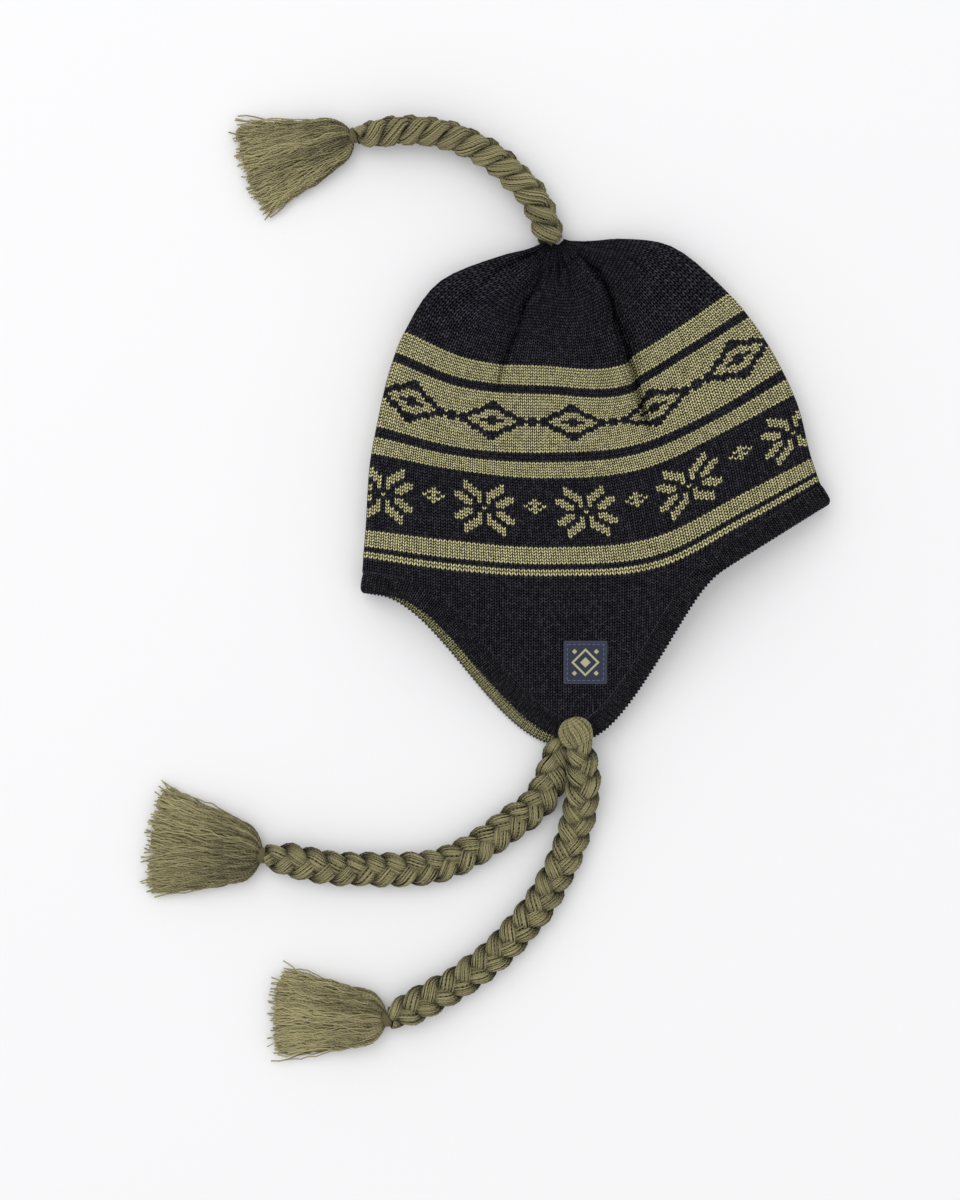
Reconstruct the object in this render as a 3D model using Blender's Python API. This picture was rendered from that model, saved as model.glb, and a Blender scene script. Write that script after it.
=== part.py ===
"""A knitted beanie with two ear flaps, lying flat on its side on a table.

The hat is a hollow knitted tube, gathered to a tip at +Y and open at -Y. The layer that
faces up is the near layer, and the one on the table is the far layer. A ribbed binding
runs round the whole rim. Three plaited ties with tassels lie on the table: one from the
crown, and one from the tip of each flap. Metres, +Z up, +X to the hat's right.
"""
import math
from collections import namedtuple

import bmesh
import bpy
import numpy as np

for old_object in list(bpy.data.objects):
    bpy.data.objects.remove(old_object, do_unlink=True)

# Driving dimensions of the knitted body
HAT_WIDTH = 0.2409          # rim corner to rim corner, laid flat
CROWN_DEPTH = 0.1743        # top edge down to the lowest stripe, where that hangs lowest
LYING_HEIGHT = 0.032        # thickest place of the hat as it lies
WALL = 0.003                # doubled knitting
HEM_DEPTH = 0.0174          # plain knitting between the lowest stripe and the rim
FLAP_LENGTH = 0.0664        # how far a flap reaches below the hem
FLAP_CENTRE = -0.0092       # the near flap's middle, measured from the hat's middle
FLAP_RUN_LEFT = 0.0948      # from the flap's middle to where its curve meets the hem
FLAP_RUN_RIGHT = 0.0743
FLAP_FULLNESS = 0.92        # below 1 the flap's curve is fuller, above 1 it is more pointed
FLAP_TIP_HEIGHT = 0.0125    # top of the near flap's tip above the table
FAR_FLAP_SHIFT = -0.0062    # the far flap shows past the near one by these two
FAR_FLAP_DROP = 0.0026
LEFT_FLARE = -0.001         # how far the rim's corners stand out past the lowest stripe
RIGHT_FLARE = 0.0056

# Shares that shape the lying tube
FOLD_SHARE = 0.29           # height of a side fold, as a share of the thickness there
FOLD_ROUND = 1.5            # run of the underside's rounding, in fold heights
DOME_POWER = 2.6            # how boxy the near layer's arch is
FLARE_SHARE = 0.22          # stretch of the rim at each corner that flares out
CORNER_HEM_SHARE = 0.8      # hem depth left at the right corner

# Binding and label
BINDING_WIDTH = 0.0105
BINDING_PROUD = 0.0006      # how far the binding stands out past the wall on each side
BINDING_ROUND = 0.0014
LABEL_SIZE = 0.0222
LABEL_THICKNESS = 0.0013
LABEL_ABOVE_TIP = 0.0405    # from the flap's tip up to the label's middle
LABEL_ASIDE = 0.0036        # the label's middle from the flap's middle
GAP = 0.0003                # between pieces that touch

# Plaited ties and tassels
BRAID_WIDTH = 0.0193
BRAID_THICKNESS = 0.0125
BRAID_ROOT_SHARE = 0.75     # a braid's size where it starts, as a share of its full size
BRAID_NECK_SHARE = 0.45     # its size where its tassel is tied
BRAID_TAPER_IN = 0.018      # lengths over which it reaches its full size
BRAID_TAPER_OUT = 0.022
BRAID_STEP = 0.0098         # distance between the points of a braid's tube
TABLE_CLEARANCE = 0.0001
TIE_LENGTH = 0.0032
TIE_WIDTH = 0.0082
TASSEL_LENGTH = 0.058
SHOULDER_AT = 0.010         # a tassel swells to its shoulder over this length
SHOULDER_START = 0.05       # share of that swelling that it starts from
HEAD_LENGTH = 0.017
HEAD_HEIGHT = 0.0118
LOCK_WIDTH = 0.0125
LOCK_THICKNESS = 0.0052
LOOP_WIDTH = 0.0172
LOOP_LENGTH = 0.0158
LOOP_HEIGHT = 0.0068
LOOP_OVERHANG = 0.0034      # how far the loop reaches past the flap's tip

# How finely the surfaces are divided
COLUMNS = 37
HEM_LEVELS = 8
ROW_LEVELS = 2

TOP_Y = (CROWN_DEPTH + HEM_DEPTH + FLAP_LENGTH + FAR_FLAP_DROP) / 2

# Courses of the knitting from the tip down. left and right are shares of HAT_WIDTH from
# the middle. The depths below the top edge are shares of CROWN_DEPTH, at the six places
# across that ACROSS names. height and under are shares of LYING_HEIGHT.
ACROSS = (0.0, 0.18, 0.42, 0.66, 0.83, 1.0)
Course = namedtuple("Course", "name left right edge_l quarter low fold quarter_r edge_r height under")
COURSES = (
    Course("tip", -0.096, -0.070, 0.006, 0.012, 0.018, 0.018, 0.012, 0.006, 0.38, 0.12),
    Course("gather", -0.147, -0.013, 0.029, 0.082, 0.100, 0.094, 0.065, 0.006, 0.56, 0.02),
    Course("decrease", -0.204, 0.047, 0.050, 0.141, 0.171, 0.168, 0.126, 0.002, 0.74, 0.0),
    Course("shoulder", -0.332, 0.162, 0.126, 0.235, 0.271, 0.268, 0.182, 0.024, 0.88, 0.0),
    Course("crown_edge", -0.409, 0.285, 0.279, 0.360, 0.385, 0.379, 0.282, 0.165, 0.95, 0.0),
    Course("upper_stripe", -0.434, 0.328, 0.365, 0.444, 0.468, 0.460, 0.353, 0.235, 0.97, 0.0),
    Course("wide_band", -0.468, 0.398, 0.559, 0.619, 0.641, 0.609, 0.515, 0.391, 1.0, 0.0),
    Course("lower_stripe", -0.479, 0.423, 0.638, 0.685, 0.715, 0.679, 0.578, 0.465, 1.0, 0.0),
    Course("motif_band", -0.491, 0.460, 0.862, 0.893, 0.915, 0.879, 0.765, 0.650, 0.97, 0.0),
    Course("last_stripe", -0.496, 0.477, 0.944, 0.981, 1.000, 0.968, 0.847, 0.718, 0.93, 0.0),
)
HOLLOW_STARTS = "decrease"

# Folds pressed into the near layer: their places across at four courses, the depths
# from and to which they run as shares of CROWN_DEPTH, how deep they are as a share of
# LYING_HEIGHT, and their half width as a share of HAT_WIDTH
FOLD_COURSES = (0.171, 0.271, 0.385, 0.641)
Crease = namedtuple("Crease", "name decrease shoulder crown_edge wide_band top end deep half_width")
CREASES = (
    Crease("pleat", 0.86, 0.75, 0.69, 0.672, 0.12, 0.60, 0.27, 0.018),
    Crease("left_fold", 0.27, 0.345, 0.304, 0.265, 0.11, 0.45, 0.15, 0.026),
    Crease("right_dent", 0.95, 0.90, 0.88, 0.88, 0.11, 0.26, 0.09, 0.020),
    Crease("left_dent", 0.06, 0.12, 0.13, 0.13, 0.09, 0.23, 0.08, 0.018),
)
CREASE_FADE = 0.06          # share of CROWN_DEPTH over which a fold starts and ends
GATHER_COUNT = 7            # small gathers round the near side of the tip
GATHER_DEEP = 0.035         # their depth, as a share of LYING_HEIGHT
GATHER_COURSE = 0.10
GATHER_FADE = 0.09

# Route of each braid in plan, from the place that it hangs from: x, y, and the lift of
# its middle over where it would lie on the table
NEAR_ROUTE = (
    (0.0014, -0.0039, 0.0090), (0.0026, -0.0125, 0.0078), (0.0029, -0.0210, 0.0062),
    (0.0022, -0.0302, 0.0032), (0.0000, -0.0407, 0.0008), (-0.0034, -0.0524, 0.0),
    (-0.0084, -0.0642, 0.0), (-0.0147, -0.0760, 0.0), (-0.0201, -0.0848, 0.0),
    (-0.0270, -0.0936, 0.0), (-0.0349, -0.1025, 0.0), (-0.0436, -0.1112, 0.0),
    (-0.0524, -0.1181, 0.0), (-0.0623, -0.1250, 0.0), (-0.0730, -0.1309, 0.0008),
    (-0.0838, -0.1367, 0.0018), (-0.0927, -0.1407, 0.0031), (-0.0964, -0.1423, 0.0031),
)
FAR_ROUTE = (
    (-0.0026, -0.0001, 0.0), (-0.0054, -0.0097, 0.0), (-0.0095, -0.0226, 0.0),
    (-0.0182, -0.0333, 0.0), (-0.0290, -0.0410, 0.0), (-0.0408, -0.0497, 0.0),
    (-0.0536, -0.0569, 0.0), (-0.0664, -0.0620, 0.0), (-0.0808, -0.0635, 0.0),
    (-0.0997, -0.0635, 0.0), (-0.1182, -0.0630, 0.0008), (-0.1361, -0.0600, 0.0016),
    (-0.1499, -0.0571, 0.0031), (-0.1538, -0.0566, 0.0031),
)
CROWN_ROUTE = (
    (-0.0062, -0.0010, 0.0), (-0.0075, 0.0036, 0.0), (-0.0103, 0.0118, 0.0),
    (-0.0155, 0.0222, 0.0), (-0.0236, 0.0309, 0.0), (-0.0331, 0.0396, 0.0),
    (-0.0449, 0.0470, 0.0), (-0.0571, 0.0524, 0.0), (-0.0696, 0.0549, 0.0),
    (-0.0831, 0.0556, 0.0), (-0.0943, 0.0543, 0.0004), (-0.1020, 0.0528, 0.0017),
    (-0.1058, 0.0530, 0.0017),
)

# Each tassel: degrees that it turns to the left of its braid's last direction, and half
# its width at the shoulder and at its loose end
Tassel = namedtuple("Tassel", "braid turn shoulder end")
TASSELS = (
    Tassel("near", -27.0, 0.0143, 0.0210),
    Tassel("far", 2.0, 0.0155, 0.0280),
    Tassel("crown", 13.0, 0.0122, 0.0250),
)

# Locks of a tassel: place across its spread, length as a share of TASSEL_LENGTH, lift of
# its middle along the way as a share of HEAD_HEIGHT, and bulk as a share of LOCK_WIDTH
Lock = namedtuple("Lock", "place reach lift bulk")
LOCKS = (
    Lock(0.02, 0.92, 0.00, 0.92), Lock(0.26, 0.99, 0.03, 1.00), Lock(0.50, 0.96, 0.01, 1.05),
    Lock(0.75, 1.00, 0.04, 1.00), Lock(0.98, 0.93, 0.02, 0.90),
    Lock(0.15, 0.90, 0.40, 0.95), Lock(0.41, 0.95, 0.44, 1.00), Lock(0.64, 0.91, 0.42, 0.95),
    Lock(0.87, 0.88, 0.38, 0.90),
)
# Along a lock: share of its length, width and thickness shares
LOCK_SECTIONS = ((0.16, 0.70, 0.90), (0.34, 0.90, 1.00), (0.70, 0.98, 0.88), (1.00, 0.84, 0.42))
# Along a tassel's head: share of its length, and width and height shares
HEAD_SECTIONS = (
    (0.0, 1.0, 0.52), (0.16, 1.0, 0.80), (0.34, 1.0, 0.96), (0.58, 1.0, 1.0), (0.82, 0.95, 0.88), (1.0, 0.82, 0.62),
)


def curve_through(stations, values, places):
    """Read a smooth curve through the values at the stations; straight past its ends."""
    stations = np.asarray(stations, float)
    values = np.asarray(values, float)
    places = np.atleast_1d(np.asarray(places, float))
    flat = values.reshape(len(stations), -1)
    spans = np.diff(stations)
    slopes = np.diff(flat, axis=0) / spans[:, None]
    tangents = np.vstack([slopes[:1], slopes[:1], slopes[1:]])
    before, after = spans[:-1, None], spans[1:, None]
    tangents[1:-1] = (after * slopes[:-1] + before * slopes[1:]) / (before + after)
    at = np.clip(np.searchsorted(stations, places, side="right") - 1, 0, len(spans) - 1)
    span = spans[at][:, None]
    inside = np.clip(places, stations[0], stations[-1])
    t = (inside - stations[at])[:, None] / span
    read = (flat[at] * (2 * t ** 3 - 3 * t ** 2 + 1)
            + tangents[at] * span * (t ** 3 - 2 * t ** 2 + t)
            + flat[at + 1] * (3 * t ** 2 - 2 * t ** 3)
            + tangents[at + 1] * span * (t ** 3 - t ** 2))
    past = (places - inside)[:, None]
    read = read + past * np.where(past < 0, tangents[:1], tangents[-1:])
    return read.reshape((len(places),) + values.shape[1:])


def rise(share):
    """Go smoothly from 0 to 1."""
    t = np.clip(share, 0.0, 1.0)
    return t * t * (3 - 2 * t)


def course_row(depth):
    """Give the course table's numbers at any depth below the top edge."""
    table = [course[1:] for course in COURSES]
    return curve_through([course.low for course in COURSES], table, depth)[0]


def course_plan(depth, shares):
    """Place a course in plan, at the given shares across."""
    row = course_row(depth)
    x = HAT_WIDTH * (row[0] + (row[1] - row[0]) * shares)
    y = TOP_Y - CROWN_DEPTH * curve_through(ACROSS, row[2:8], shares)
    return np.column_stack([x, y])


def column_shares():
    """Spread the columns across a layer: closer at the folds and at the deep pleat."""
    even = np.linspace(0.0, 1.0, COLUMNS)
    round_ends = (1 - np.cos(math.pi * even)) / 2
    shares = 0.55 * round_ends + 0.45 * even
    pleat = CREASES[0]
    beside = pleat.crown_edge + np.array([-1.6, -0.75, 0.0, 0.75, 1.6]) * pleat.half_width
    apart = np.abs(shares[:, None] - beside[None, :]).min(axis=1)
    return np.sort(np.concatenate([shares[apart > 0.55 * pleat.half_width], beside]))


def lean(shares, depth):
    """Shift the columns of a course so that one of them keeps to the pleat's valley."""
    pleat = CREASES[0]
    valley = np.interp(depth, FOLD_COURSES + (1.0,), pleat[1:5] + (pleat.crown_edge,))
    return np.interp(shares, (0.0, pleat.crown_edge, 1.0), (0.0, valley, 1.0))


def rim_plan(shares, far):
    """Place the rim in plan: hem depth plus the flap's bell curve below the last stripe."""
    start = course_plan(1.0, shares)
    left, right = course_plan(1.0, np.array([0.0, 1.0]))[:, 0]
    from_left = np.clip(1 - shares / FLARE_SHARE, 0, 1)
    from_right = np.clip((shares - 1) / FLARE_SHARE + 1, 0, 1)
    x = start[:, 0] + LEFT_FLARE * from_left ** 2 + RIGHT_FLARE * from_right ** 2
    stripe = course_plan(1.0, (x - left) / (right - left))[:, 1]
    hem = HEM_DEPTH * (1 - (1 - CORNER_HEM_SHARE) * from_right)
    middle = FLAP_CENTRE + (FAR_FLAP_SHIFT if far else 0.0)
    aside = x - middle
    turn = np.clip(np.abs(aside) / np.where(aside < 0, FLAP_RUN_LEFT, FLAP_RUN_RIGHT), 0, 1)
    bell = (0.5 + 0.5 * np.cos(math.pi * turn)) ** FLAP_FULLNESS
    flap = (FLAP_LENGTH + (FAR_FLAP_DROP if far else 0.0)) * bell
    return np.column_stack([x, stripe - hem - flap])


def sheet_top(depth, below):
    """Height of the near layer's middle: by its course, and sloping down the flap."""
    top = LYING_HEIGHT * course_row(depth)[8]
    slope = rise(below / (HEM_DEPTH + FLAP_LENGTH))
    return top - (top - FLAP_TIP_HEIGHT) * slope


def crease_depth(depth, shares, width):
    """Depth of the pressed folds along one course."""
    total = np.zeros(len(shares))
    for crease in CREASES:
        middle = np.interp(depth, FOLD_COURSES, crease[1:5])
        fade = rise((depth - crease.top) / CREASE_FADE) * rise((crease.end - depth) / CREASE_FADE)
        aside = (shares - middle) * width / (crease.half_width * HAT_WIDTH)
        total += crease.deep * LYING_HEIGHT * fade * np.exp(-aside ** 2)
    gather = GATHER_DEEP * LYING_HEIGHT * rise(1 - abs(depth - GATHER_COURSE) / GATHER_FADE)
    return total + gather * (1 - np.cos(2 * math.pi * GATHER_COUNT * shares)) / 2


def ring(depth, shares, near_plan, far_plan):
    """Give one ring of the hat's outer surface: the near layer, then back along the far."""
    row = course_row(depth)
    under = LYING_HEIGHT * row[9]
    layers = []
    for plan in (near_plan, far_plan):
        steps = np.linalg.norm(np.diff(plan, axis=0), axis=1)
        along = np.concatenate([[0.0], np.cumsum(steps)])
        stripe = course_plan(1.0, shares)[:, 1]
        below = np.clip(stripe - plan[:, 1], 0.0, None) if depth >= 1.0 else np.zeros(len(shares))
        top = sheet_top(depth, below)
        fold = under + (top - under) * FOLD_SHARE
        layers.append((plan, along, top, fold))
    plan, along, top, fold = layers[0]
    arch = np.sqrt(np.clip(1 - np.abs(2 * along / along[-1] - 1) ** DOME_POWER, 0, 1))
    near_z = fold + (top - fold) * arch
    near_z = near_z - crease_depth(depth, shares, along[-1]) * arch
    near = np.column_stack([plan, near_z])
    plan, along, top, fold = layers[1]
    fold = np.minimum(fold, layers[0][3])
    from_fold = np.minimum(along, along[-1] - along)
    run = np.minimum(FOLD_ROUND * fold, along[-1] * 0.5)
    tuck = np.sqrt(np.clip(1 - np.clip(1 - from_fold / run, 0, 1) ** 2, 0, 1))
    far = np.column_stack([plan, fold - (fold - under) * tuck])
    return np.vstack([near, far[-2:0:-1]])


def outer_grid(shares):
    """Give the rings of the hat from its tip to its rim; the last two are seam and rim."""
    lows = [course.low for course in COURSES]
    depths = [lows[0]]
    for upper, lower in zip(lows, lows[1:]):
        depths += [upper + (lower - upper) * step / ROW_LEVELS for step in range(1, ROW_LEVELS + 1)]
    rings = []
    for depth in depths:
        leaned = lean(shares, depth)
        plan = course_plan(depth, leaned)
        rings.append(ring(depth, leaned, plan, plan))
    start = course_plan(1.0, shares)
    seams, rims = [], []
    for far in (False, True):
        rim = rim_plan(shares, far)
        down = rim - start
        reach = np.linalg.norm(down, axis=1)
        tangent = np.gradient(rim, axis=0)
        tangent /= np.linalg.norm(tangent, axis=1)[:, None]
        across = np.abs(tangent[:, 0] * down[:, 1] - tangent[:, 1] * down[:, 0]) / reach
        at_seam = 1 - BINDING_WIDTH / np.maximum(across, 0.5) / reach
        seams.append(start + down * at_seam[:, None])
        rims.append(rim)
    for level in range(1, HEM_LEVELS + 1):
        share = level / HEM_LEVELS
        near = start + (seams[0] - start) * share
        far = start + (seams[1] - start) * share
        rings.append(ring(1.0, shares, near, far))
    rings.append(ring(1.0, shares, rims[0], rims[1]))
    return np.array(rings), depths


def outward(grid):
    """Give the grid's outward directions."""
    down = np.gradient(grid, axis=0)
    around = np.roll(grid, -1, axis=1) - np.roll(grid, 1, axis=1)
    normal = np.cross(down, around)
    normal /= np.linalg.norm(normal, axis=2)[:, :, None]
    return normal


def add_object(name, points, faces, material):
    """Make a named object from points and faces, with its faces turned outwards."""
    mesh = bpy.data.meshes.new(name)
    mesh.from_pydata([tuple(float(c) for c in point) for point in points], [], faces)
    work = bmesh.new()
    work.from_mesh(mesh)
    bmesh.ops.recalc_face_normals(work, faces=work.faces)
    work.to_mesh(mesh)
    work.free()
    mesh.shade_smooth()
    mesh.materials.append(material)
    item = bpy.data.objects.new(name, mesh)
    bpy.context.scene.collection.objects.link(item)
    return item


def yarn_material(name, color, roughness):
    """Make a plain material of the yarn's colour."""
    material = bpy.data.materials.new(name)
    material.use_nodes = True
    shader = material.node_tree.nodes["Principled BSDF"]
    shader.inputs["Base Color"].default_value = (*color, 1.0)
    shader.inputs["Roughness"].default_value = roughness
    shader.inputs["Metallic"].default_value = 0.0
    return material


def ring_strip(first, second, count):
    """Join two rings of a grid by quads; each ring is named by its first point's number."""
    return [(first + i, first + (i + 1) % count, second + (i + 1) % count, second + i)
            for i in range(count)]


def close_ring(first, columns):
    """Close a flattened ring by joining its near side to its far side."""
    count = 2 * (columns - 1)
    faces = []
    for i in range(columns - 1):
        corners = [first + i, first + i + 1, first + (count - i - 1) % count, first + (count - i) % count]
        faces.append(tuple(dict.fromkeys(corners)))
    return faces


def make_body(grid, normals, depths, columns, material):
    """Make the hollow knitted body: outer rings, inner rings, and the seam that joins them."""
    count = 2 * (columns - 1)
    outer = grid[:-1]
    hollow_depth = next(course.low for course in COURSES if course.name == HOLLOW_STARTS)
    first_inner = next(i for i, depth in enumerate(depths) if depth >= hollow_depth - 1e-9)
    inner = (grid - normals * WALL)[first_inner:-1]
    inner[:, :, 2] = np.maximum(inner[:, :, 2], WALL)
    points = np.vstack([outer.reshape(-1, 3), inner.reshape(-1, 3)])
    offset = len(outer) * count
    faces = close_ring(0, columns)
    for level in range(len(outer) - 1):
        faces += ring_strip(level * count, (level + 1) * count, count)
    faces += close_ring(offset, columns)
    for level in range(len(inner) - 1):
        faces += ring_strip(offset + level * count, offset + (level + 1) * count, count)
    faces += ring_strip((len(outer) - 1) * count, offset + (len(inner) - 1) * count, count)
    return add_object("knit_body", points, faces, material)


def make_binding(grid, normals, material):
    """Make the ribbed binding: a rounded band that carries on from the body's seam."""
    seam, rim = grid[-2], grid[-1]
    count = len(seam)
    down = rim - seam
    reach = np.linalg.norm(down, axis=1)[:, None]
    start = GAP / reach
    proud, deep = BINDING_PROUD, -(WALL + BINDING_PROUD)
    corner = BINDING_ROUND / reach
    soft = BINDING_ROUND / 2
    section = (
        (start, proud - soft), (start + corner / 2, proud), (1 - corner, proud),
        (1 + 0 * corner, proud - BINDING_ROUND), (1 + 0 * corner, deep + BINDING_ROUND),
        (1 - corner, deep), (start + corner / 2, deep), (start, deep + soft),
    )
    loops = []
    for share, out in section:
        direction = normals[-2] * (1 - share) + normals[-1] * share
        loops.append(seam + down * share + direction * out)
    points = np.stack(loops)
    points[:, :, 2] = np.maximum(points[:, :, 2], 0.0)
    faces = []
    for i in range(len(section)):
        faces += ring_strip(i * count, ((i + 1) % len(section)) * count, count)
    return add_object("rim_binding", points.reshape(-1, 3), faces, material)


def flap_height(x, y):
    """Height of the near flap's upper surface at a place near its middle."""
    left, right = course_plan(1.0, np.array([0.0, 1.0]))[:, 0]
    stripe = course_plan(1.0, np.array([(x - left) / (right - left)]))[0, 1]
    return float(sheet_top(1.0, max(stripe - y, 0.0)))


def flap_tip(far):
    """Lowest place of a flap's rim, in plan."""
    rim = rim_plan(np.linspace(0.0, 1.0, 401), far)
    return rim[rim[:, 1].argmin()]


def make_label(tip, material):
    """Make the square patch, which follows the near flap's slope."""
    steps = np.linspace(-0.5, 0.5, 5)
    middle = tip + np.array([LABEL_ASIDE, LABEL_ABOVE_TIP])
    under, over = [], []
    for v in steps:
        for u in steps:
            x, y = middle + LABEL_SIZE * np.array([u, v])
            base = flap_height(x, y) + GAP
            edge = max(abs(u), abs(v)) > 0.49
            under.append((x, y, base))
            over.append((x, y, base + LABEL_THICKNESS * (0.7 if edge else 1.0)))
    side = len(steps)
    faces = []
    for shift in (0, side * side):
        for r in range(side - 1):
            for c in range(side - 1):
                k = shift + r * side + c
                faces.append((k, k + 1, k + side + 1, k + side))
    border = ([c for c in range(side)] + [r * side + side - 1 for r in range(1, side)]
              + [(side - 1) * side + c for c in range(side - 2, -1, -1)]
              + [r * side for r in range(side - 2, 0, -1)])
    for a, b in zip(border, border[1:] + border[:1]):
        faces.append((a, b, side * side + b, side * side + a))
    return add_object("label_patch", under + over, faces, material)


def make_loop(tip, material):
    """Make the loop of yarn that holds the near braid over the flap's tip."""
    middle = tip + np.array([-0.0018, LOOP_LENGTH / 2 - LOOP_OVERHANG])
    inner_edge = middle[1] + LOOP_LENGTH / 2
    floor = flap_height(middle[0], inner_edge) + BINDING_PROUD + GAP
    sides, rings = 14, (0.0, 0.45, 0.78)
    points, faces = [], []
    for lift in rings:
        size = math.sqrt(1 - lift ** 2)
        for i in range(sides):
            turn = 2 * math.pi * i / sides
            points.append((middle[0] + LOOP_WIDTH / 2 * size * math.cos(turn),
                           middle[1] + LOOP_LENGTH / 2 * size * math.sin(turn),
                           floor + LOOP_HEIGHT * lift))
    points.append((middle[0], middle[1], floor + LOOP_HEIGHT))
    for level in range(len(rings) - 1):
        faces += ring_strip(level * sides, (level + 1) * sides, sides)
    top = (len(rings) - 1) * sides
    faces += [(top + i, top + (i + 1) % sides, len(points) - 1) for i in range(sides)]
    faces.append(tuple(range(sides)))
    return add_object("near_root_loop", points, faces, material)


def braid_points(route, start, thickness):
    """Read a braid's centre line and taper from its chosen points; its last step is level."""
    plan = np.array([(start[0] + x, start[1] + y) for x, y, lift in route])
    lifts = np.array([lift for x, y, lift in route])
    along = np.concatenate([[0.0], np.cumsum(np.linalg.norm(np.diff(plan, axis=0), axis=1))])
    count = max(3, round(along[-1] / BRAID_STEP) + 1)
    places = np.linspace(0.0, along[-1], count)
    read = curve_through(along, np.column_stack([plan, lifts]), places)
    taper_in = BRAID_ROOT_SHARE + (1 - BRAID_ROOT_SHARE) * rise(places / BRAID_TAPER_IN)
    taper_out = BRAID_NECK_SHARE + (1 - BRAID_NECK_SHARE) * rise((along[-1] - places) / BRAID_TAPER_OUT)
    taper = np.minimum(taper_in, taper_out)
    z = TABLE_CLEARANCE + taper * thickness / 2 + read[:, 2]
    z[-2] = z[-1]
    return np.column_stack([read[:, :2], z]), taper


def make_braid(name, route, start, width, thickness, material):
    """Make a braid as a flattened tube, and give its end and its last direction."""
    points, taper = braid_points(route, start, thickness)
    squash = thickness / width
    curve = bpy.data.curves.new(name, "CURVE")
    curve.dimensions = "3D"
    curve.twist_mode = "Z_UP"
    curve.bevel_depth = width / 2
    curve.bevel_resolution = 3
    curve.use_fill_caps = True
    spline = curve.splines.new("POLY")
    spline.points.add(len(points) - 1)
    for spot, place, size in zip(spline.points, points, taper):
        spot.co = (place[0], place[1], place[2] / squash, 1.0)
        spot.radius = size
    curve.materials.append(material)
    item = bpy.data.objects.new(name, curve)
    item.scale = (1.0, 1.0, squash)
    bpy.context.scene.collection.objects.link(item)
    heading = points[-1] - points[-2]
    heading[2] = 0.0
    return points[-1], heading / np.linalg.norm(heading)


def loft(name, sections, sides, material):
    """Make a closed solid through oval sections: middle, heading, half width, half height."""
    points, faces = [], []
    for middle, heading, half_width, half_height in sections:
        aside = np.array([-heading[1], heading[0], 0.0])
        for i in range(sides):
            turn = 2 * math.pi * (i + 0.5) / sides
            points.append(middle + aside * half_width * math.cos(turn)
                          + np.array([0.0, 0.0, half_height * math.sin(turn)]))
    for level in range(len(sections) - 1):
        faces += ring_strip(level * sides, (level + 1) * sides, sides)
    faces.append(tuple(range(sides)))
    faces.append(tuple((len(sections) - 1) * sides + i for i in range(sides)))
    return add_object(name, points, faces, material)


def turned(heading, angle):
    """Turn a level direction to the left by an angle."""
    across, ahead = math.sin(angle), math.cos(angle)
    return np.array([heading[0] * ahead - heading[1] * across, heading[0] * across + heading[1] * ahead, 0.0])


def half_width(tassel, reach):
    """Half a tassel's width at a distance from its neck: a round shoulder, then a fan."""
    swell = min(SHOULDER_START + (1 - SHOULDER_START) * reach / SHOULDER_AT, 1.0)
    fan = max(reach - SHOULDER_AT, 0.0) / (TASSEL_LENGTH - SHOULDER_AT)
    return tassel.shoulder * math.sqrt(math.sin(math.pi / 2 * swell)) + (tassel.end - tassel.shoulder) * fan


def make_tie(tassel, end, heading, thread):
    """Make the winding that ties a braid off, and give where the tassel starts."""
    start = end + heading * GAP
    half_tie = TIE_WIDTH / 2
    sections = [(start + heading * TIE_LENGTH * share, heading, half_tie * size, half_tie * size)
                for share, size in ((0.0, 0.86), (0.3, 1.0), (0.7, 1.0), (1.0, 0.86))]
    loft(tassel.braid + "_tassel_tie", sections, 10, thread)
    clear = half_width(tassel, 0.0) * abs(math.sin(math.radians(tassel.turn)))
    neck = start + heading * (TIE_LENGTH + GAP + clear)
    neck[2] = TABLE_CLEARANCE + HEAD_HEIGHT / 2
    return neck


def make_lock(tassel, lock, number, neck, heading, material):
    """Make one lock of a tassel as a strip, which is used only to fuse it to the head."""
    axis = turned(heading, math.radians(tassel.turn))
    aside = turned(axis, math.pi / 2)
    across = 1 - 2 * lock.place
    widening = (tassel.end - tassel.shoulder) / (TASSEL_LENGTH - SHOULDER_AT)
    forward = turned(axis, math.atan(widening * across))
    sections = []
    for share, width, thickness in LOCK_SECTIONS:
        reach = TASSEL_LENGTH * lock.reach * share
        half_lock = LOCK_WIDTH / 2 * lock.bulk * width
        middle = neck + axis * reach + aside * across * (half_width(tassel, reach) - half_lock)
        half_height = LOCK_THICKNESS / 2 * thickness
        resting = TABLE_CLEARANCE + half_height + HEAD_HEIGHT * lock.lift * (1 - 0.55 * share)
        held = neck[2] + (resting - neck[2]) * rise(share / 0.8)
        middle[2] = max(held, resting)
        sections.append((middle, forward, half_lock, half_height))
    strip = loft(tassel.braid + "_lock_" + str(number), sections, 6, material)
    strip.hide_render = True
    strip.display_type = "WIRE"
    return strip


def make_tassel(tassel, end, heading, material, thread):
    """Make a braid's tie, and its tassel as a round-shouldered head with locks fused to it."""
    neck = make_tie(tassel, end, heading, thread)
    axis = turned(heading, math.radians(tassel.turn))
    sections = []
    for share, width, height in HEAD_SECTIONS:
        reach = HEAD_LENGTH * share
        sections.append((neck + axis * reach, axis, half_width(tassel, reach) * width, HEAD_HEIGHT / 2 * height))
    head = loft(tassel.braid + "_tassel", sections, 14, material)
    for number, lock in enumerate(LOCKS):
        union = head.modifiers.new("lock " + str(number), "BOOLEAN")
        union.operation = "UNION"
        union.solver = "MANIFOLD"
        union.object = make_lock(tassel, lock, number, neck, heading, material)
    return head


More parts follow.
